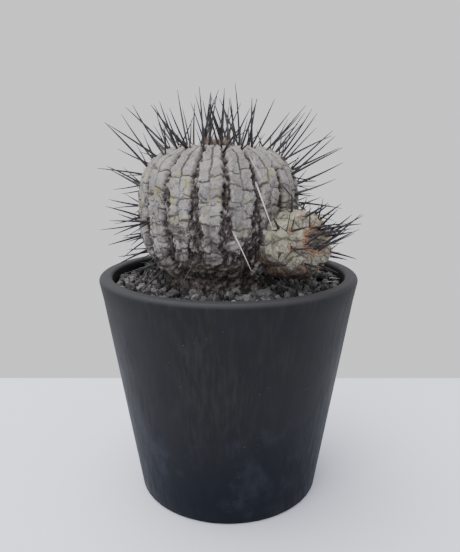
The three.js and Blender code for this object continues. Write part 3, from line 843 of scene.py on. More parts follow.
def makeStemSkin():
    paint = PaintSketch("chalkyGreySkin")
    tones = skinColours
    border = paint.attribute("border")
    seam = paint.attribute("seam")
    furrow = paint.attribute("furrow")
    age = paint.attribute("age")
    cork = paint.attribute("cork")
    block = paint.attribute("block")
    walk = paint.attribute("walk")
    rough = paint.attribute("rough")
    stain = paint.attribute("stain")
    margin = paint.attribute("margin")
    fine = paint.cloud(800, 5, 0.7)
    broad = paint.cloud(150, 4, 0.65)
    grain = paint.cloud(2200, 3, 0.6)
    specks = paint.cloud(1700, 3, 0.6)
    speckle = paint.band(paint.cells(1300), 0.34, 0.16)
    speckle = paint.times(speckle, paint.band(broad, 0.45, 0.58))
    # the old skin is cracked into a mosaic of blocks, wider than tall, and again into small ones
    tiles = paint.warped(paint.stretched((95, 95, 150)), 1.6, 0.7)
    tileEdge = paint.cells(1.0, tiles, "DISTANCE_TO_EDGE")
    tileCrack = paint.times(paint.band(tileEdge, 0.055, 0.022), paint.band(age, 0.0, 0.2))
    tileCrack = paint.times(tileCrack, paint.band(specks, 0.4, 0.5))
    chips = paint.warped(paint.stretched((380, 380, 560)), 1.3, 0.6)
    chipEdge = paint.cells(1.0, chips, "DISTANCE_TO_EDGE")
    chipCrack = paint.times(paint.band(chipEdge, 0.09, 0.03), paint.band(stain, 0.5, 0.62))
    chipCrack = paint.times(chipCrack, paint.band(age, 0.1, 0.5))
    # thin lines drawn from the distances stored on the mesh, roughened a little
    wobble = paint.times(paint.calculate("SUBTRACT", specks, 0.5), 0.5)
    seamAway = paint.calculate("ABSOLUTE", paint.calculate("ADD", seam, wobble))
    seamLine = paint.band(seamAway, 0.27, 0.13)
    seamLine = paint.times(seamLine, paint.band(paint.attribute("seamAway"), 0.5, 0.3))
    seamLine = paint.times(seamLine, paint.attribute("seamPower"))
    furrowAway = paint.calculate("ABSOLUTE", paint.calculate("ADD", furrow, wobble))
    furrowLine = paint.band(furrowAway, 0.23, 0.1)
    furrowLine = paint.times(furrowLine, paint.attribute("furrowPower"))
    crack = paint.calculate("MAXIMUM", seamLine, furrowLine)
    column = paint.band(paint.calculate("ADD", border, wobble), 0.05, -0.05)
    # painted highlight: a pale line just inside each plate's raised edge
    rim = paint.band(paint.calculate("ABSOLUTE", paint.calculate("SUBTRACT", border, 0.35)), 0.3, 0.1)
    colour = paint.mix(paint.band(broad, 0.38, 0.62), tones["chalk"], tones["shadedChalk"])
    pale = paint.times(paint.band(block, 0.55, 0.95), paint.band(age, 0.0, 0.5))
    colour = paint.mix(paint.times(pale, 0.6), colour, tones["paleBlock"])
    dim = paint.times(paint.band(block, 0.4, 0.05), paint.band(age, 0.0, 0.5))
    colour = paint.mix(paint.times(dim, 0.6), colour, tones["dimBlock"])
    colour = paint.mix(paint.band(specks, 0.53, 0.6, 0, 0.5), colour, tones["greySpeck"])
    colour = paint.mix(paint.band(fine, 0.5, 0.66, 0, 0.4), colour, tones["smudge"])
    colour = paint.mix(paint.band(specks, 0.45, 0.38, 0, 0.35), colour, tones["whiteSpeck"])
    # yellow-green living skin shows through in patches at middle height
    belt = paint.times(paint.band(walk, 0.3, 0.42), paint.band(walk, 0.68, 0.5))
    patch = paint.times(paint.band(paint.cloud(190, 4, 0.6), 0.53, 0.62), belt)
    colour = paint.mix(paint.times(patch, 0.8), colour, tones["livingSkin"])
    colour = paint.mix(paint.times(speckle, 0.6), colour, tones["brownSpeckle"])
    dirt = paint.times(paint.band(stain, 0.48, 0.64), paint.band(age, 0.0, 0.6))
    colour = paint.mix(paint.times(dirt, 0.8), colour, tones["dirt"])
    colour = paint.mix(paint.times(rim, 0.35), colour, tones["paintedEdgeHighlight"])
    colour = paint.mix(paint.times(margin, 0.6), colour, tones["dirt"])
    colour = paint.mix(paint.times(chipCrack, 0.5), colour, tones["chipCrack"])
    colour = paint.mix(paint.times(tileCrack, 0.8), colour, tones["tileCrack"])
    colour = paint.mix(paint.times(crack, 0.9), colour, tones["deepCrack"])
    # the dark felted columns, and the bark round the collar
    felt = paint.mix(paint.band(rough, 0.35, 0.62), tones["felt"][0], tones["felt"][1])
    felt = paint.mix(paint.band(rough, 0.62, 0.8), felt, tones["felt"][2])
    felt = paint.mix(paint.band(specks, 0.54, 0.62, 0, 0.6), felt, tones["felt"][3])
    colour = paint.mix(column, colour, felt)
    bark = paint.mix(paint.band(rough, 0.35, 0.6), tones["bark"][0], tones["bark"][1])
    bark = paint.mix(paint.band(rough, 0.62, 0.78), bark, tones["bark"][2])
    bark = paint.mix(paint.band(specks, 0.5, 0.6, 0, 0.6), bark, tones["bark"][3])
    bark = paint.mix(paint.band(specks, 0.42, 0.34, 0, 0.5), bark, tones["bark"][4])
    colour = paint.mix(cork, colour, bark)
    normal = paint.bump(fine, 0.45, 0.3 * mm)
    normal = paint.bump(specks, 0.6, 0.3 * mm, normal)
    normal = paint.bump(grain, 0.4, 0.12 * mm, normal)
    allCracks = paint.calculate("MAXIMUM", crack, tileCrack)
    normal = paint.bump(paint.calculate("SUBTRACT", 1.0, allCracks), 0.7, 0.5 * mm, normal)
    return paint.finish(colour, paint.band(fine, 0.3, 0.7, 0.74, 0.92), normal)


stemLift, stemMarks = stemSurface(stemForm, skinRelief)
stemPiece = stemForm.mesh("stemSkin", makeStemSkin(), stemLift, stemMarks)
place(stemPiece, "grey_skin", "cactus_stem")
print("stem done", len(stemPiece.data.polygons))


offset = {
    "radius": 14.9 * mm,
    "angle": -35,                  # where it grows out of the stem, degrees from +X
    "height": 121.5 * mm,
    "standoff": 4.6 * mm,          # its centre beyond the stem's surface
    "axis": Vector((0.48, -0.84, 0.25)).normalized(),
    "upper": 16.6 * mm,
    "lower": 19 * mm,
    "fullness": 2.3,
    "collarRadius": 2 * mm,
    "footDepth": 18.6 * mm,
    "ribs": 8,
    "firstTurn": 0.0,
    "perRib": 30,
    "rows": 110,
    "sunken": 0.8 * mm,
    "areoleStart": 5.4 * mm,
    "areoleSpacing": 6.2 * mm,
    "seed": 31,
}
offsetRelief = {
    "tubercleRise": 1.7 * mm,
    "tubercleHalf": (5.2 * mm, 3.9 * mm),        # sideways and along the rib
    "pitDepth": 0.7 * mm,
    "pitHalf": 0.85 * mm,
    "furrowDepth": 0.75 * mm,
    "wrinkleDepth": 0.35 * mm,
    "lineHalf": 0.33 * mm,         # of furrows and wrinkles
    "lump": 0.9 * mm,
    "highest": 1.0 * mm,
    "dryTop": 117.5 * mm,          # above the ground: the skin below has dried
    "inwardRise": 6 * mm,             # how much higher the dark lower band reaches on the side towards the main stem
    "dryFade": 7.5 * mm,
}
offsetColours = {
    "cream": (0.315, 0.30, 0.212),
    "olive": (0.18, 0.172, 0.125),
    "smudge": (0.16, 0.15, 0.12),
    "line": (0.07, 0.06, 0.045),
    "weathered": ((0.30, 0.278, 0.262), (0.075, 0.062, 0.056)),
    "dried": ((0.028, 0.021, 0.017), (0.15, 0.112, 0.085)),
    "crack": (0.065, 0.055, 0.04),
    "pit": (0.06, 0.045, 0.04),
}


def offsetCentre():
    drop = (offset["height"] - stem["centre"].z) / stem["lower"]
    reach = stem["radius"] * math.sqrt(1 - min(drop, 0) ** 2) + offset["standoff"]
    turn = math.radians(offset["angle"])
    return Vector((stem["centre"].x + reach * math.cos(turn), stem["centre"].y + reach * math.sin(turn),
                   offset["height"]))


offset["centre"] = offsetCentre()
offsetForm = RibbedStem(offset)


# Tubercles and pits at the areoles, and the distance to the wrinkles between them.
def tubercles(form, look, left, right, share, walk, pitchWidth, ragged):
    rise = np.zeros_like(walk)
    pit = np.zeros_like(walk)
    wrinkleAway = np.ones_like(walk)
    wide, tall = look["tubercleHalf"]
    for column, where in ((left, share), (right, 1 - share)):
        for rib, spots in enumerate(form.areoles):
            here = column == rib
            aside = where[here] * pitchWidth[here]
            for spot in spots:
                along = walk[here] - spot
                reach = np.hypot(aside / wide, along / tall)
                rise[here] = np.maximum(rise[here], np.exp(-reach ** 2))
                hollow = np.exp(-(np.hypot(aside, along) / look["pitHalf"]) ** 2)
                pit[here] = np.maximum(pit[here], hollow)
            for upper, lower in zip(spots, spots[1:]):
                bent = (0.5 * (upper + lower) + 1.6 * mm * np.cos(where[here] * math.pi) - 0.8 * mm
                        + 0.9 * mm * ragged[here])
                wrinkleAway[here] = np.minimum(wrinkleAway[here], np.abs(walk[here] - bent))
    return rise, pit, wrinkleAway


def offsetSurface(form, look):
    shape = form.shape
    rib, rows = form.grid()
    walk = rows["walk"]
    left = np.floor(rib).astype(int)
    share = rib - left
    right = (left + 1) % shape["ribs"]
    pitchWidth = 2 * np.pi * rows["radius"] / shape["ribs"]
    turn = shape["firstTurn"] + rib * 2 * np.pi / shape["ribs"]
    flat = np.stack([rows["radius"] * np.cos(turn), rows["radius"] * np.sin(turn), rows["height"]],
                    axis=-1).reshape(-1, 3)
    broadNoise = fractalAt(flat + 2.2, 95, 3).reshape(walk.shape)
    raggedNoise = fractalAt(flat + 4.1, 240, 3).reshape(walk.shape)
    fineNoise = fractalAt(flat + 1.37, 620, 4).reshape(walk.shape)
    furrowAt = 0.5 + 0.12 * form.furrowWander.at(left, walk) + 0.05 * raggedNoise
    furrowAway = np.abs(share - furrowAt) * pitchWidth
    rise, pit, wrinkleAway = tubercles(form, look, left, right, share, walk, pitchWidth, raggedNoise)
    furrow = np.exp(-(furrowAway / look["lineHalf"]) ** 2)
    wrinkle = np.exp(-(wrinkleAway / look["lineHalf"]) ** 2)
    wrinkle = wrinkle * smoothStep(broadNoise + 0.5 * raggedNoise, -0.35, 0.1)
    fade = (rows["radius"] / (0.45 * shape["radius"])).clip(0.1, 1)
    lift = fade * (look["tubercleRise"] * (rise - 0.55) - look["furrowDepth"] * furrow
                   - look["wrinkleDepth"] * wrinkle - look["pitDepth"] * pit + look["lump"] * broadNoise
                   + 0.3 * mm * raggedNoise + 0.15 * mm * fineNoise)
    lift = np.minimum(lift, look["highest"])
    world = flat @ np.array(form.matrix.to_3x3()).T + np.array(form.matrix.translation)
    inward = smoothStep(shape["centre"].x - 2 * mm - world[:, 0], 0, 12 * mm)
    dryTop = look["dryTop"] + 5 * mm * broadNoise.reshape(-1) + look["inwardRise"] * inward
    attributes = {
        "crack": np.maximum(furrow, 0.7 * wrinkle),
        "pit": pit,
        "under": smoothStep(dryTop - world[:, 2], 0, look["dryFade"]).reshape(walk.shape),
        "stain": 0.5 + 0.5 * raggedNoise,
    }
    return lift, attributes


def makeOffsetSkin():
    paint = PaintSketch("creamGreenSkin")
    tones = offsetColours
    crack = paint.attribute("crack")
    under = paint.attribute("under")
    pit = paint.attribute("pit")
    stain = paint.attribute("stain")
    fine = paint.cloud(800, 5, 0.7)
    broad = paint.cloud(220, 3, 0.5)
    colour = paint.mix(paint.band(broad, 0.38, 0.62), tones["cream"], tones["olive"])
    colour = paint.mix(paint.band(fine, 0.5, 0.68, 0, 0.5), colour, tones["smudge"])
    folds = paint.warped(paint.stretched((210, 210, 300)), 1.5, 0.8)
    wrinkles = paint.cells(1.0, folds, "DISTANCE_TO_EDGE")
    lined = paint.times(paint.band(wrinkles, 0.07, 0.025), paint.band(broad, 0.38, 0.5))
    colour = paint.mix(paint.times(lined, 0.85), colour, tones["line"])
    weathered = paint.mix(paint.band(fine, 0.42, 0.56), *tones["weathered"])
    scab = paint.calculate("MAXIMUM", paint.band(under, 0.12, 0.5), paint.band(stain, 0.55, 0.7))
    colour = paint.mix(paint.times(scab, 0.75), colour, weathered)
    dried = paint.mix(paint.band(fine, 0.4, 0.6), *tones["dried"])
    colour = paint.mix(paint.band(under, 0.55, 0.85), colour, dried)
    colour = paint.mix(paint.times(crack, 0.9), colour, tones["crack"])
    colour = paint.mix(pit, colour, tones["pit"])
    normal = paint.bump(fine, 0.5, 0.25 * mm)
    return paint.finish(colour, paint.band(fine, 0.3, 0.7, 0.55, 0.75), normal)


offsetLift, offsetMarks = offsetSurface(offsetForm, offsetRelief)
offsetPiece = offsetForm.mesh("offsetSkin", makeOffsetSkin(), offsetLift, offsetMarks)
place(offsetPiece, "cream_skin", "offset_stem")
print("offset done")


# Each point of the source mesh grows one bent, tapered bristle along its aim.
def makeBristleTree():
    sketch = GeometrySketch("bristles", {
        "Material": ("NodeSocketMaterial", None),
        "Sides": ("NodeSocketInt", 6),
        "Steps": ("NodeSocketInt", 6),
        "Taper": ("NodeSocketFloat", 1.4),
        "Tip": ("NodeSocketFloat", 0.12),
        "Bend": ("NodeSocketFloat", 0.06),
        "Seed": ("NodeSocketInt", 1),
    })
    given = sketch.given
    endPoint = sketch.add("ShaderNodeCombineXYZ", {"X": given["Bend"], "Z": 1.0}).outputs["Vector"]
    line = sketch.add("GeometryNodeCurveQuadraticBezier", {
        "Resolution": given["Steps"], "Start": (0, 0, 0), "Middle": (0, 0, 0.5), "End": endPoint})
    aim = sketch.read("aim", "FLOAT_VECTOR")
    turned = sketch.add("FunctionNodeAlignRotationToVector", {"Vector": aim}, axis="Z")
    roll = sketch.randomValue("FLOAT", 0.0, 2 * math.pi, given["Seed"])
    spin = sketch.add("FunctionNodeAxisAngleToRotation", {"Axis": (0, 0, 1), "Angle": roll})
    rotation = sketch.add("FunctionNodeRotateRotation", {
        "Rotation": turned.outputs["Rotation"], "Rotate By": spin.outputs["Rotation"]},
        rotation_space="LOCAL")
    planted = sketch.add("GeometryNodeInstanceOnPoints", {
        "Points": given["Geometry"], "Instance": line.outputs["Curve"],
        "Rotation": rotation.outputs["Rotation"], "Scale": sketch.read("reach")})
    lines = sketch.add("GeometryNodeRealizeInstances", {"Geometry": planted.outputs["Instances"]})
    along = sketch.add("GeometryNodeSplineParameter").outputs["Factor"]
    thinner = sketch.calculate("POWER", along, given["Taper"])
    narrowing = sketch.calculate("SUBTRACT", 1.0, given["Tip"])
    share = sketch.calculate("SUBTRACT", 1.0, sketch.times(thinner, narrowing))
    girth = sketch.times(sketch.read("girth"), share)
    marked = sketch.add("GeometryNodeStoreNamedAttribute", {
        "Geometry": lines.outputs["Geometry"], "Name": "along", "Value": along},
        data_type="FLOAT", domain="POINT")
    ring = sketch.add("GeometryNodeCurvePrimitiveCircle", {"Resolution": given["Sides"], "Radius": 1.0})
    tube = sketch.add("GeometryNodeCurveToMesh", {
        "Curve": marked.outputs["Geometry"], "Profile Curve": ring.outputs["Curve"],
        "Scale": girth, "Fill Caps": True})
    return sketch.finish(tube.outputs["Mesh"])


bristleTree = makeBristleTree()


# A bristle is (foot, aim, length, radius, tint); shape gives the tree's other inputs.
def growBristles(name, bristles, material, shape):
    mesh = bpy.data.meshes.new(name + "Feet")
    mesh.from_pydata([tuple(b[0]) for b in bristles], [], [])
    aims = mesh.attributes.new("aim", "FLOAT_VECTOR", "POINT")
    aims.data.foreach_set("vector", [c for b in bristles for c in b[1]])
    for index, label in ((2, "reach"), (3, "girth"), (4, "tint")):
        layer = mesh.attributes.new(label, "FLOAT", "POINT")
        layer.data.foreach_set("value", [b[index] for b in bristles])
    return grow(name, bristleTree, mesh, {"Material": material, **shape})


hornColours = {
    "dark": (0.016, 0.014, 0.017),
    "worn": (0.045, 0.042, 0.047),
    "grey": (0.11, 0.10, 0.105),
    "bleached": (0.55, 0.52, 0.50),
    "foot": (0.075, 0.055, 0.045),
}


# Tint runs from black horn through grey to a bleached old spine.
def makeSpineHorn():
    paint = PaintSketch("spineHorn")
    tones = hornColours
    tint = paint.attribute("tint")
    along = paint.attribute("along")
    mottled = paint.cloud(1200, 3, 0.5)
    colour = paint.mix(paint.band(mottled, 0.35, 0.65), tones["dark"], tones["worn"])
    colour = paint.mix(paint.band(tint, 0.3, 0.6), colour, tones["grey"])
    colour = paint.mix(paint.band(tint, 0.75, 0.95), colour, tones["bleached"])
    foot = paint.times(paint.band(along, 0.22, 0.0), 0.45)
    colour = paint.mix(foot, colour, tones["foot"])
    normal = paint.bump(mottled, 0.3, 0.08 * mm)
    return paint.finish(colour, 0.5, normal, **{"Specular IOR Level": 0.25})


def makeWool(name, dark, light):
    paint = PaintSketch(name)
    tint = paint.attribute("tint")
    along = paint.attribute("along")
    colour = paint.mix(tint, dark, light)
    colour = paint.mix(paint.band(along, 0.5, 1.0, 0, 0.4), colour, light)
    return paint.finish(colour, 0.9)


spineHorn = makeSpineHorn()

spines = {
    "length": 27.5 * mm,
    "thickRadius": 0.5 * mm,
    "thinRadius": 0.33 * mm,
    "shape": {"Sides": 6, "Steps": 6, "Taper": 2.4, "Tip": 0.22, "Bend": 0.07, "Seed": 3},
    "seed": 12,
    "sunk": 0.9 * mm,              # foot below the column's surface
    "greyest": 0.45,               # top of the range of tints
    "bareBelow": 27 * mm,          # walked from the crown: below it spines get rarer to the front
    "bareFacing": 0.62,            # and past this there are none; 1 is straight to the front
    "offsetClear": 1.2 * mm,
    "rimClear": 0.5 * mm,          # a tip beyond rimReach stays this far above the rim
    "rimReach": 50 * mm,
    "roomSideways": 1.5 * mm,      # how far a tip may pass the CAD box
    "roomOnTop": -0.4 * mm,
    # per areole, innermost first: chance of any, chance of a second long spine, side spines,
    # lean towards the crown, share of the full length
    "fans": (
        (0.8, 0.0, 0, (-0.15, 0.1), 0.88),
        (0.85, 0.1, 0, (-0.5, 0.0), 0.97),
        (1.0, 0.25, 1, (-0.85, 0.0), 1.0),
        (1.0, 0.45, 1, (-0.6, 0.15), 1.0),
        (1.0, 0.5, 1, (-0.4, 0.4), 0.95),
        (1.0, 0.45, 2, (-0.35, 0.45), 0.88),
        (1.0, 0.3, 2, (-0.35, 0.4), 0.78),
    ),
}


# A spine's length, cut where it would leave the room the part has.
def lengthInRoom(foot, aim, reach):
    sideways, onTop = spines["roomSideways"], spines["roomOnTop"]
    low = Vector(cadBox[0]) - Vector((sideways, sideways, 0))
    high = Vector(cadBox[1]) + Vector((sideways, sideways, onTop))
    for axis in range(3):
        if aim[axis] > 0.01:
            reach = min(reach, (high[axis] - foot[axis]) / aim[axis])
        if aim[axis] < -0.01:
            reach = min(reach, (low[axis] - foot[axis]) / aim[axis])
    return reach


def clearOfOffset(foot, tip):
    back = offsetForm.matrix.inverted()
    margin = spines["offsetClear"]
    for step in range(11):
        local = back @ foot.lerp(tip, step / 10)
        tall = (offset["upper"] if local.z > 0 else offset["lower"]) + margin
        wide = offset["radius"] + margin
        if (local.x ** 2 + local.y ** 2) / wide ** 2 + local.z ** 2 / tall ** 2 < 1:
            return False
    return True


def clearOfRim(tip):
    above = tip.z >= pot["height"] + spines["rimClear"]
    return above or math.hypot(tip.x, tip.y) <= spines["rimReach"]


# One areole's long central spines, then its shorter side spines all round.
def spineFan(rng, spot, look, length, centrals, radials, leans=(0.0, 0.45)):
    foot, out, up, side = spot
    thick, thin = look["thickRadius"], look["thinRadius"]
    fan = []
    for n in range(centrals):
        lean = rng.uniform(*leans)
        swing = rng.uniform(-0.45, 0.45)
        aim = (out + up * lean + side * swing).normalized()
        fan.append((foot, aim, length * rng.uniform(0.78, 1.05), thick * rng.uniform(0.85, 1.1)))
    for n in range(radials):
        angle = math.radians(360 * (n + rng.uniform(-0.3, 0.3)) / radials + 20)
        spread = rng.uniform(0.6, 1.1)
        aim = (out + (side * math.cos(angle) + up * math.sin(angle)) * spread).normalized()
        fan.append((foot, aim, length * rng.uniform(0.35, 0.7), thin * rng.uniform(0.8, 1.15)))
    return fan


def makeStemSpines(look):
    rng = random.Random(look["seed"])
    bristles = []
    for rib in range(stem["ribs"]):
        for order, walk in enumerate(stemForm.areoles[rib]):
            spot = stemForm.spot(rib, walk, -look["sunk"])
            turn = math.atan2(spot[0].y - stem["centre"].y, spot[0].x - stem["centre"].x)
            facing = -math.sin(turn)
            chance = 1.0
            if walk >= look["bareBelow"]:
                chance = 0.0 if facing > look["bareFacing"] else 1.0 - 0.9 * max(0, facing) ** 2
            kept, second, radials, leans, share = look["fans"][min(order, len(look["fans"]) - 1)]
            if rng.random() > chance * kept:
                continue
            centrals = 2 if rng.random() < second else 1
            fan = spineFan(rng, spot, look, look["length"] * share, centrals, radials, leans)
            for foot, aim, reach, girth in fan:
                reach = lengthInRoom(foot, aim, reach)
                tip = foot + aim * reach
                if clearOfRim(tip) and clearOfOffset(foot, tip):
                    bristles.append((foot, aim, reach, girth, rng.uniform(0.0, look["greyest"])))
    return bristles


stemSpines = growBristles("stemSpines", makeStemSpines(spines), spineHorn, spines["shape"])
ribNodes = ["spines_rib_%02d" % (k + 1) for k in range(stem["ribs"])]
place(stemSpines, "dark_spines", *ribNodes)
print("stem spines done", len(stemSpines.data.polygons))

offsetSpineLook = {
    "lengths": (20 * mm, 15 * mm, 9 * mm),       # at its tip, at the second areole, and lower
    "thickRadius": 0.54 * mm,
    "thinRadius": 0.3 * mm,
    "shape": {"Sides": 6, "Steps": 6, "Taper": 2.2, "Tip": 0.2, "Bend": 0.09, "Seed": 8},
    "seed": 5,
    "sunk": 0.6 * mm,
    "greyest": 0.12,
    "sweep": Vector((0.8, 0.0, 0.35)),           # the long spines at its tip are combed this way
    "keptBelow": 0.45,             # chance that a lower areole still has spines
    "lowest": 115 * mm,            # above the ground; areoles under this are bare
    "stemClear": 2 * mm,
}


def makeOffsetSpines(look):
    rng = random.Random(look["seed"])
    bristles = []
    for rib in range(offset["ribs"]):
        for order, walk in enumerate(offsetForm.areoles[rib]):
            spot = offsetForm.spot(rib, walk, -look["sunk"])
            if order > 1 and (rng.random() > look["keptBelow"] or spot[0].z < look["lowest"]):
                continue
            length = look["lengths"][min(order, 2)]
            centrals = 2 if order == 0 and rng.random() < 0.6 else 1
            radials = 2 if order == 1 else 1
            for foot, aim, reach, girth in spineFan(rng, spot, look, length, centrals, radials):
                if order < 2:
                    combed = look["sweep"] * rng.uniform(0.1, 1.2)
                    combed = combed + Vector((0, 0, rng.uniform(-0.35, 0.35)))
                    aim = (aim + combed).normalized()
                reach = lengthInRoom(foot, aim, reach)
                tip = foot + aim * reach
                away = (tip - stem["centre"]).xy.length
                if away >= stem["radius"] + look["stemClear"]:
                    bristles.append((foot, aim, reach, girth, rng.uniform(0.0, look["greyest"])))
    return bristles


offsetSpines = growBristles("offsetSpines", makeOffsetSpines(offsetSpineLook), spineHorn,
                            offsetSpineLook["shape"])
offsetNodes = ["offset_spines_%02d" % (k + 1) for k in range(offset["ribs"])]
place(offsetSpines, "dark_spines", *offsetNodes)
print("offset spines done", len(offsetSpines.data.polygons))

# Old pale spines that lie across the front, thin grey ones over the offset, a few dropped ones, and
# a pale nick on the pot, in mm: foot, tip, radius, tint.
loneSpines = (
    ((8.2, -33.0, 159.1), (13.8, -34.8, 149.2), 0.25, 0.88),
    ((11.0, -32.4, 148.9), (17.5, -39.3, 130.8), 0.33, 1.0),
    ((1.8, -38.0, 129.8), (9.4, -41.0, 114.6), 0.30, 0.93),
    ((-15.0, -31.5, 114.5), (-20.8, -38.5, 104.8), 0.26, 0.4),
    ((22.0, -27.5, 147.5), (30.5, -31.0, 137.0), 0.30, 0.2),
    ((23.4, -36.6, 129.5), (25.5, -38.2, 141.5), 0.26, 0.25),
    ((23.4, -36.6, 129.5), (17.2, -40.4, 134.5), 0.22, 0.4),
    ((25.2, -39.8, 122.0), (19.6, -43.0, 116.4), 0.28, 0.3),
    ((30.4, -39.6, 118.2), (25.0, -43.4, 113.4), 0.26, 0.3),
    ((44.0, -22.0, 107.0), (52.0, -8.0, 103.8), 0.20, 0.95),
    ((42.0, -25.0, 106.0), (50.5, -14.0, 103.6), 0.18, 0.9),
    ((-20.1, -56.0, 102.0), (-16.4, -57.0, 99.9), 0.10, 1.0),
)


def makeLoneSpines():
    bristles = []
    for foot, tip, radius, tint in loneSpines:
        start, end = Vector(foot) * mm, Vector(tip) * mm
        bristles.append((start, (end - start).normalized(), (end - start).length, radius * mm, tint))
    return bristles


oldSpineShape = {"Sides": 6, "Steps": 8, "Taper": 1.3, "Tip": 0.2, "Bend": 0.03, "Seed": 2}
oldSpines = growBristles("oldSpines", makeLoneSpines(), spineHorn, oldSpineShape)
place(oldSpines, "dark_spines")
print("old spines done")

wool = {
    "crownCount": 1500,
    "crownRadius": 6.0 * mm,
    "crownSunk": 1.4 * mm,
    "crownLength": (2.5 * mm, 5.5 * mm),
    "crownColours": ((0.20, 0.145, 0.115), (0.52, 0.415, 0.35)),
    "offsetPerAreole": 120,
    "offsetSunk": 0.8 * mm,
    "offsetLength": (1.5 * mm, 3.6 * mm),
    "offsetSpread": 0.75 * mm,
    "offsetColours": ((0.30, 0.14, 0.075), (0.72, 0.45, 0.30)),
    "feltPerAreole": 14,
    "feltSunk": 1.5 * mm,
    "feltLength": (0.8 * mm, 2.0 * mm),
    "feltSpread": 0.9 * mm,
    "feltColours": ((0.012, 0.010, 0.010), (0.16, 0.125, 0.115)),
    "fibreRadius": 0.075 * mm,
    "fibreShape": {"Sides": 3, "Steps": 3, "Taper": 1.0, "Tip": 0.3, "Bend": 0.35},
    "seeds": {"crown": 7, "offset": 17, "felt": 23},
    "rollSeeds": {"crown": 6, "offset": 6, "felt": 9},     # which way each fibre bends
}


def growWool(name, bristles, material, seed):
    return growBristles(name, bristles, material, {**wool["fibreShape"], "Seed": seed})


def makeCrownWool():
    rng = random.Random(wool["seeds"]["crown"])
    bristles = []
    for n in range(wool["crownCount"]):
        distance = wool["crownRadius"] * math.sqrt(rng.random())
        turn = rng.uniform(0, 2 * math.pi)
        foot = stem["centre"] + Vector((distance * math.cos(turn), distance * math.sin(turn),
                                        stem["upper"] - wool["crownSunk"]))
        aim = Vector((rng.uniform(-1, 1), rng.uniform(-1, 1), rng.uniform(0.7, 1.5))).normalized()
        bristles.append((foot, aim, rng.uniform(*wool["crownLength"]), wool["fibreRadius"], rng.random()))
    return bristles


crownWool = growWool("crownWool", makeCrownWool(), makeWool("tanWool", *wool["crownColours"]),
                     wool["rollSeeds"]["crown"])
place(crownWool, "brown_wool", "crown_wool")


def woolTuft(rng, spot, count, lengths, spread):
    foot, out, up, side = spot
    tuft = []
    for n in range(count):
        shift = side * rng.gauss(0, spread) + up * rng.gauss(0, spread)
        aim = (out + side * rng.uniform(-0.9, 0.9) + up * rng.uniform(-0.9, 0.9)).normalized()
        tuft.append((foot + shift, aim, rng.uniform(*lengths), wool["fibreRadius"], rng.random()))
    return tuft


def makeOffsetWool():
    rng = random.Random(wool["seeds"]["offset"])
    full = wool["offsetPerAreole"]
    bristles = []
    for rib in range(offset["ribs"]):
        for walk, count in zip(offsetForm.areoles[rib], (full, full // 2)):
            spot = offsetForm.spot(rib, walk, -wool["offsetSunk"])
            bristles += woolTuft(rng, spot, count, wool["offsetLength"], wool["offsetSpread"])
    return bristles


offsetWool = growWool("offsetWool", makeOffsetWool(), makeWool("rustWool", *wool["offsetColours"]),
                      wool["rollSeeds"]["offset"])
place(offsetWool, "brown_wool", "offset_wool")


def makeFelt():
    rng = random.Random(wool["seeds"]["felt"])
    bristles = []
    for rib in range(stem["ribs"]):
        for walk in stemForm.areoles[rib]:
            spot = stemForm.spot(rib, walk, -wool["feltSunk"])
            bristles += woolTuft(rng, spot, wool["feltPerAreole"], wool["feltLength"], wool["feltSpread"])
    return bristles


areoleFelt = growWool("areoleFelt", makeFelt(), makeWool("sootyFelt", *wool["feltColours"]),
                      wool["rollSeeds"]["felt"])
place(areoleFelt, "brown_wool")
print("wool done", len(areoleFelt.data.polygons), len(crownWool.data.polygons))


gravel = {
    "level": pot["height"] - 4.6 * mm,
    "swell": 0.42 * mm,
    "bedRings": 22,
    "bedAround": 96,
    "bedSink": 1.6 * mm,           # the bed lies this far under the gravel's mean surface
    "bedGap": 0.6 * mm,            # between the bed and the pot's wall
    "bedDepth": 2.4 * mm,
    "grainSink": 0.9 * mm,
    "grainGap": 1.7 * mm,
    "grainSize": 1.95 * mm,        # mean radius
    "spacing": 2.15 * mm,
    "grainKinds": 4,
    "underCollar": 3 * mm,         # how far grains reach in under the stem's collar
    "seed": 3,
    "dark": (0.014, 0.0133, 0.0133),
    "pale": (0.15, 0.144, 0.1425),
    "dust": (0.24, 0.225, 0.218),
    "pore": (0.02, 0.018, 0.017),
}


def gravelHeight(x, y):
    wave = math.sin(x / (9 * mm) + 1) + math.cos(y / (8 * mm) - x / (23 * mm))
    return gravel["level"] + gravel["swell"] * wave


# The gravel's surface as rings of points, lowered by sink and kept a gap from the pot's wall.
def bedMesh(sink, gap):
    points = []
    edge = potRadius(gravel["level"]) - pot["wall"] - gap
    for ring in range(gravel["bedRings"], 0, -1):
        radius = edge * ring / gravel["bedRings"]
        for k in range(gravel["bedAround"]):
            turn = 2 * math.pi * k / gravel["bedAround"]
            x, y = radius * math.cos(turn), radius * math.sin(turn)
            points.append((x, y, gravelHeight(x, y) - sink))
    faces = revolvedFaces(gravel["bedRings"], gravel["bedAround"])
    points.append((0, 0, gravelHeight(0, 0) - sink))
    last = (gravel["bedRings"] - 1) * gravel["bedAround"]
    faces += [(last + k, last + (k + 1) % gravel["bedAround"], len(points) - 1)
              for k in range(gravel["bedAround"])]
    return points, faces


# Gives an open sheet a side and an underside.
def closeBelow(mesh, depth):
    work = bmesh.new()
    work.from_mesh(mesh)
    edge = [e for e in work.edges if e.is_boundary]
    grown = bmesh.ops.extrude_edge_only(work, edges=edge)["geom"]
    lower = [v for v in grown if isinstance(v, bmesh.types.BMVert)]
    bmesh.ops.translate(work, verts=lower, vec=(0, 0, -depth))
    rim = [e for e in grown if isinstance(e, bmesh.types.BMEdge) and e.is_boundary]
    bmesh.ops.edgeloop_fill(work, edges=rim)
    bmesh.ops.recalc_face_normals(work, faces=work.faces)
    work.to_mesh(mesh)
    work.free()


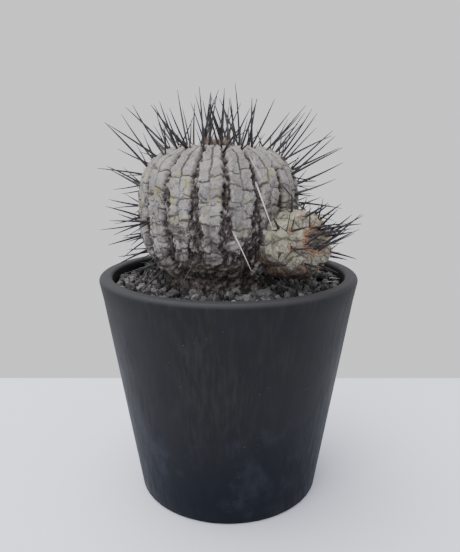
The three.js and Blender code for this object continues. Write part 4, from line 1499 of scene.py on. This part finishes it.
# A few kinds of broken pebble, strewn over the source mesh and turned at random.
def makeGrainTree():
    sketch = GeometrySketch("gravelGrains", {
        "Material": ("NodeSocketMaterial", None),
        "Grain Size": ("NodeSocketFloat", 0.0015),
        "Spacing": ("NodeSocketFloat", 0.0018),
        "Seed": ("NodeSocketInt", 1),
    })
    given = sketch.given
    join = sketch.add("GeometryNodeJoinGeometry")
    for kind in range(gravel["grainKinds"]):
        ball = sketch.add("GeometryNodeMeshIcoSphere", {"Radius": 1.0, "Subdivisions": 2})
        position = sketch.add("GeometryNodeInputPosition").outputs["Position"]
        moved = sketch.add("ShaderNodeVectorMath", {0: position, 1: (kind * 7.3, 2.1, 5.7)},
                           operation="ADD")
        chipped = sketch.ripple(moved.outputs["Vector"], 1.9, Scale=0.9, Detail=2.0, Roughness=0.8)
        rock = sketch.add("GeometryNodeSetPosition", {
            "Geometry": ball.outputs["Mesh"], "Offset": chipped})
        squeezed = sketch.add("GeometryNodeTransform", {
            "Geometry": rock.outputs["Geometry"], "Scale": (1.0, 0.72 + 0.07 * kind, 0.62 + 0.05 * kind)})
        wrapped = sketch.add("GeometryNodeGeometryToInstance", {"Geometry": squeezed.outputs["Geometry"]})
        sketch.tree.links.new(wrapped.outputs["Instances"], join.inputs["Geometry"])
    scattered = sketch.add("GeometryNodeDistributePointsOnFaces", {
        "Mesh": given["Geometry"], "Distance Min": given["Spacing"], "Density Max": 900000.0,
        "Seed": given["Seed"]}, distribute_method="POISSON")
    turn = sketch.randomValue("FLOAT_VECTOR", (0, 0, 0), (6.28, 6.28, 6.28), 11)
    size = sketch.times(given["Grain Size"], sketch.randomValue("FLOAT", 0.55, 1.35, 12))
    height = sketch.times(given["Grain Size"], sketch.randomValue("FLOAT", -0.9, 0.55, 13))
    lift = sketch.add("ShaderNodeCombineXYZ", {"Z": height})
    raised = sketch.add("GeometryNodeSetPosition", {
        "Geometry": scattered.outputs["Points"], "Offset": lift.outputs["Vector"]})
    tinted = sketch.add("GeometryNodeStoreNamedAttribute", {
        "Geometry": raised.outputs["Geometry"], "Name": "tint",
        "Value": sketch.randomValue("FLOAT", 0.0, 1.0, 14)}, data_type="FLOAT", domain="POINT")
    pick = sketch.randomValue("INT", 0, gravel["grainKinds"] - 1, 15)
    planted = sketch.add("GeometryNodeInstanceOnPoints", {
        "Points": tinted.outputs["Geometry"], "Instance": join.outputs["Geometry"],
        "Pick Instance": True, "Instance Index": pick, "Rotation": turn, "Scale": size})
    return sketch.finish(planted.outputs["Instances"], smooth=False)


def makeLava(name, shade):
    paint = PaintSketch(name)
    dark, pale, dust = (tuple(shade * c for c in gravel[tone]) for tone in ("dark", "pale", "dust"))
    tint = paint.attribute("tint")
    fine = paint.cloud(1300, 4, 0.65)
    pores = paint.cells(1700)
    colour = paint.mix(paint.band(tint, 0.15, 1.0), dark, pale)
    colour = paint.mix(paint.band(fine, 0.52, 0.7, 0, 0.6), colour, dust)
    colour = paint.mix(paint.band(pores, 0.25, 0.08, 0, 0.7), colour, gravel["pore"])
    normal = paint.bump(fine, 0.7, 0.3 * mm)
    normal = paint.bump(pores, 0.5, 0.15 * mm, normal)
    return paint.finish(colour, 0.93, normal)


# Grains that would lie inside the stem are left out.
def withoutHidden(mesh, centre, radius):
    work = bmesh.new()
    work.from_mesh(mesh)
    hidden = [f for f in work.faces if (f.calc_center_median().xy - centre.xy).length < radius]
    bmesh.ops.delete(work, geom=hidden, context="FACES")
    work.to_mesh(mesh)
    work.free()


bedPoints, bedFaces = bedMesh(gravel["bedSink"], gravel["bedGap"])
# The bed is painted at 0.35 of the grains' colours: painted shade in the gaps between the grains.
gravelBed = meshObject("gravelBed", bedPoints, bedFaces, makeLava("lavaDust", 0.35))
closeBelow(gravelBed.data, gravel["bedDepth"])
place(gravelBed, "lava_gravel", "top_dressing")

scatterPoints, scatterFaces = bedMesh(gravel["grainSink"], gravel["grainGap"])
scatterMesh = bpy.data.meshes.new("scatter")
scatterMesh.from_pydata(scatterPoints, [], scatterFaces)
withoutHidden(scatterMesh, stem["centre"], stem["collarRadius"] - gravel["underCollar"])
grains = grow("gravelGrains", makeGrainTree(), scatterMesh, {
    "Material": makeLava("darkLava", 1.0), "Grain Size": gravel["grainSize"],
    "Spacing": gravel["spacing"], "Seed": gravel["seed"]})
place(grains, "lava_gravel")
print("gravel done", len(grains.data.polygons))


mixColours = ((0.02, 0.014, 0.01), (0.09, 0.06, 0.045))


def makeMix():
    paint = PaintSketch("darkMix")
    fine = paint.cloud(900, 5, 0.7)
    colour = paint.mix(paint.band(fine, 0.35, 0.65), *mixColours)
    return paint.finish(colour, 0.95, paint.bump(fine, 0.8, 0.5 * mm))


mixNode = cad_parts["potting_mix"]
mixNode.material_slots[0].material = makeMix()
print("mix done")
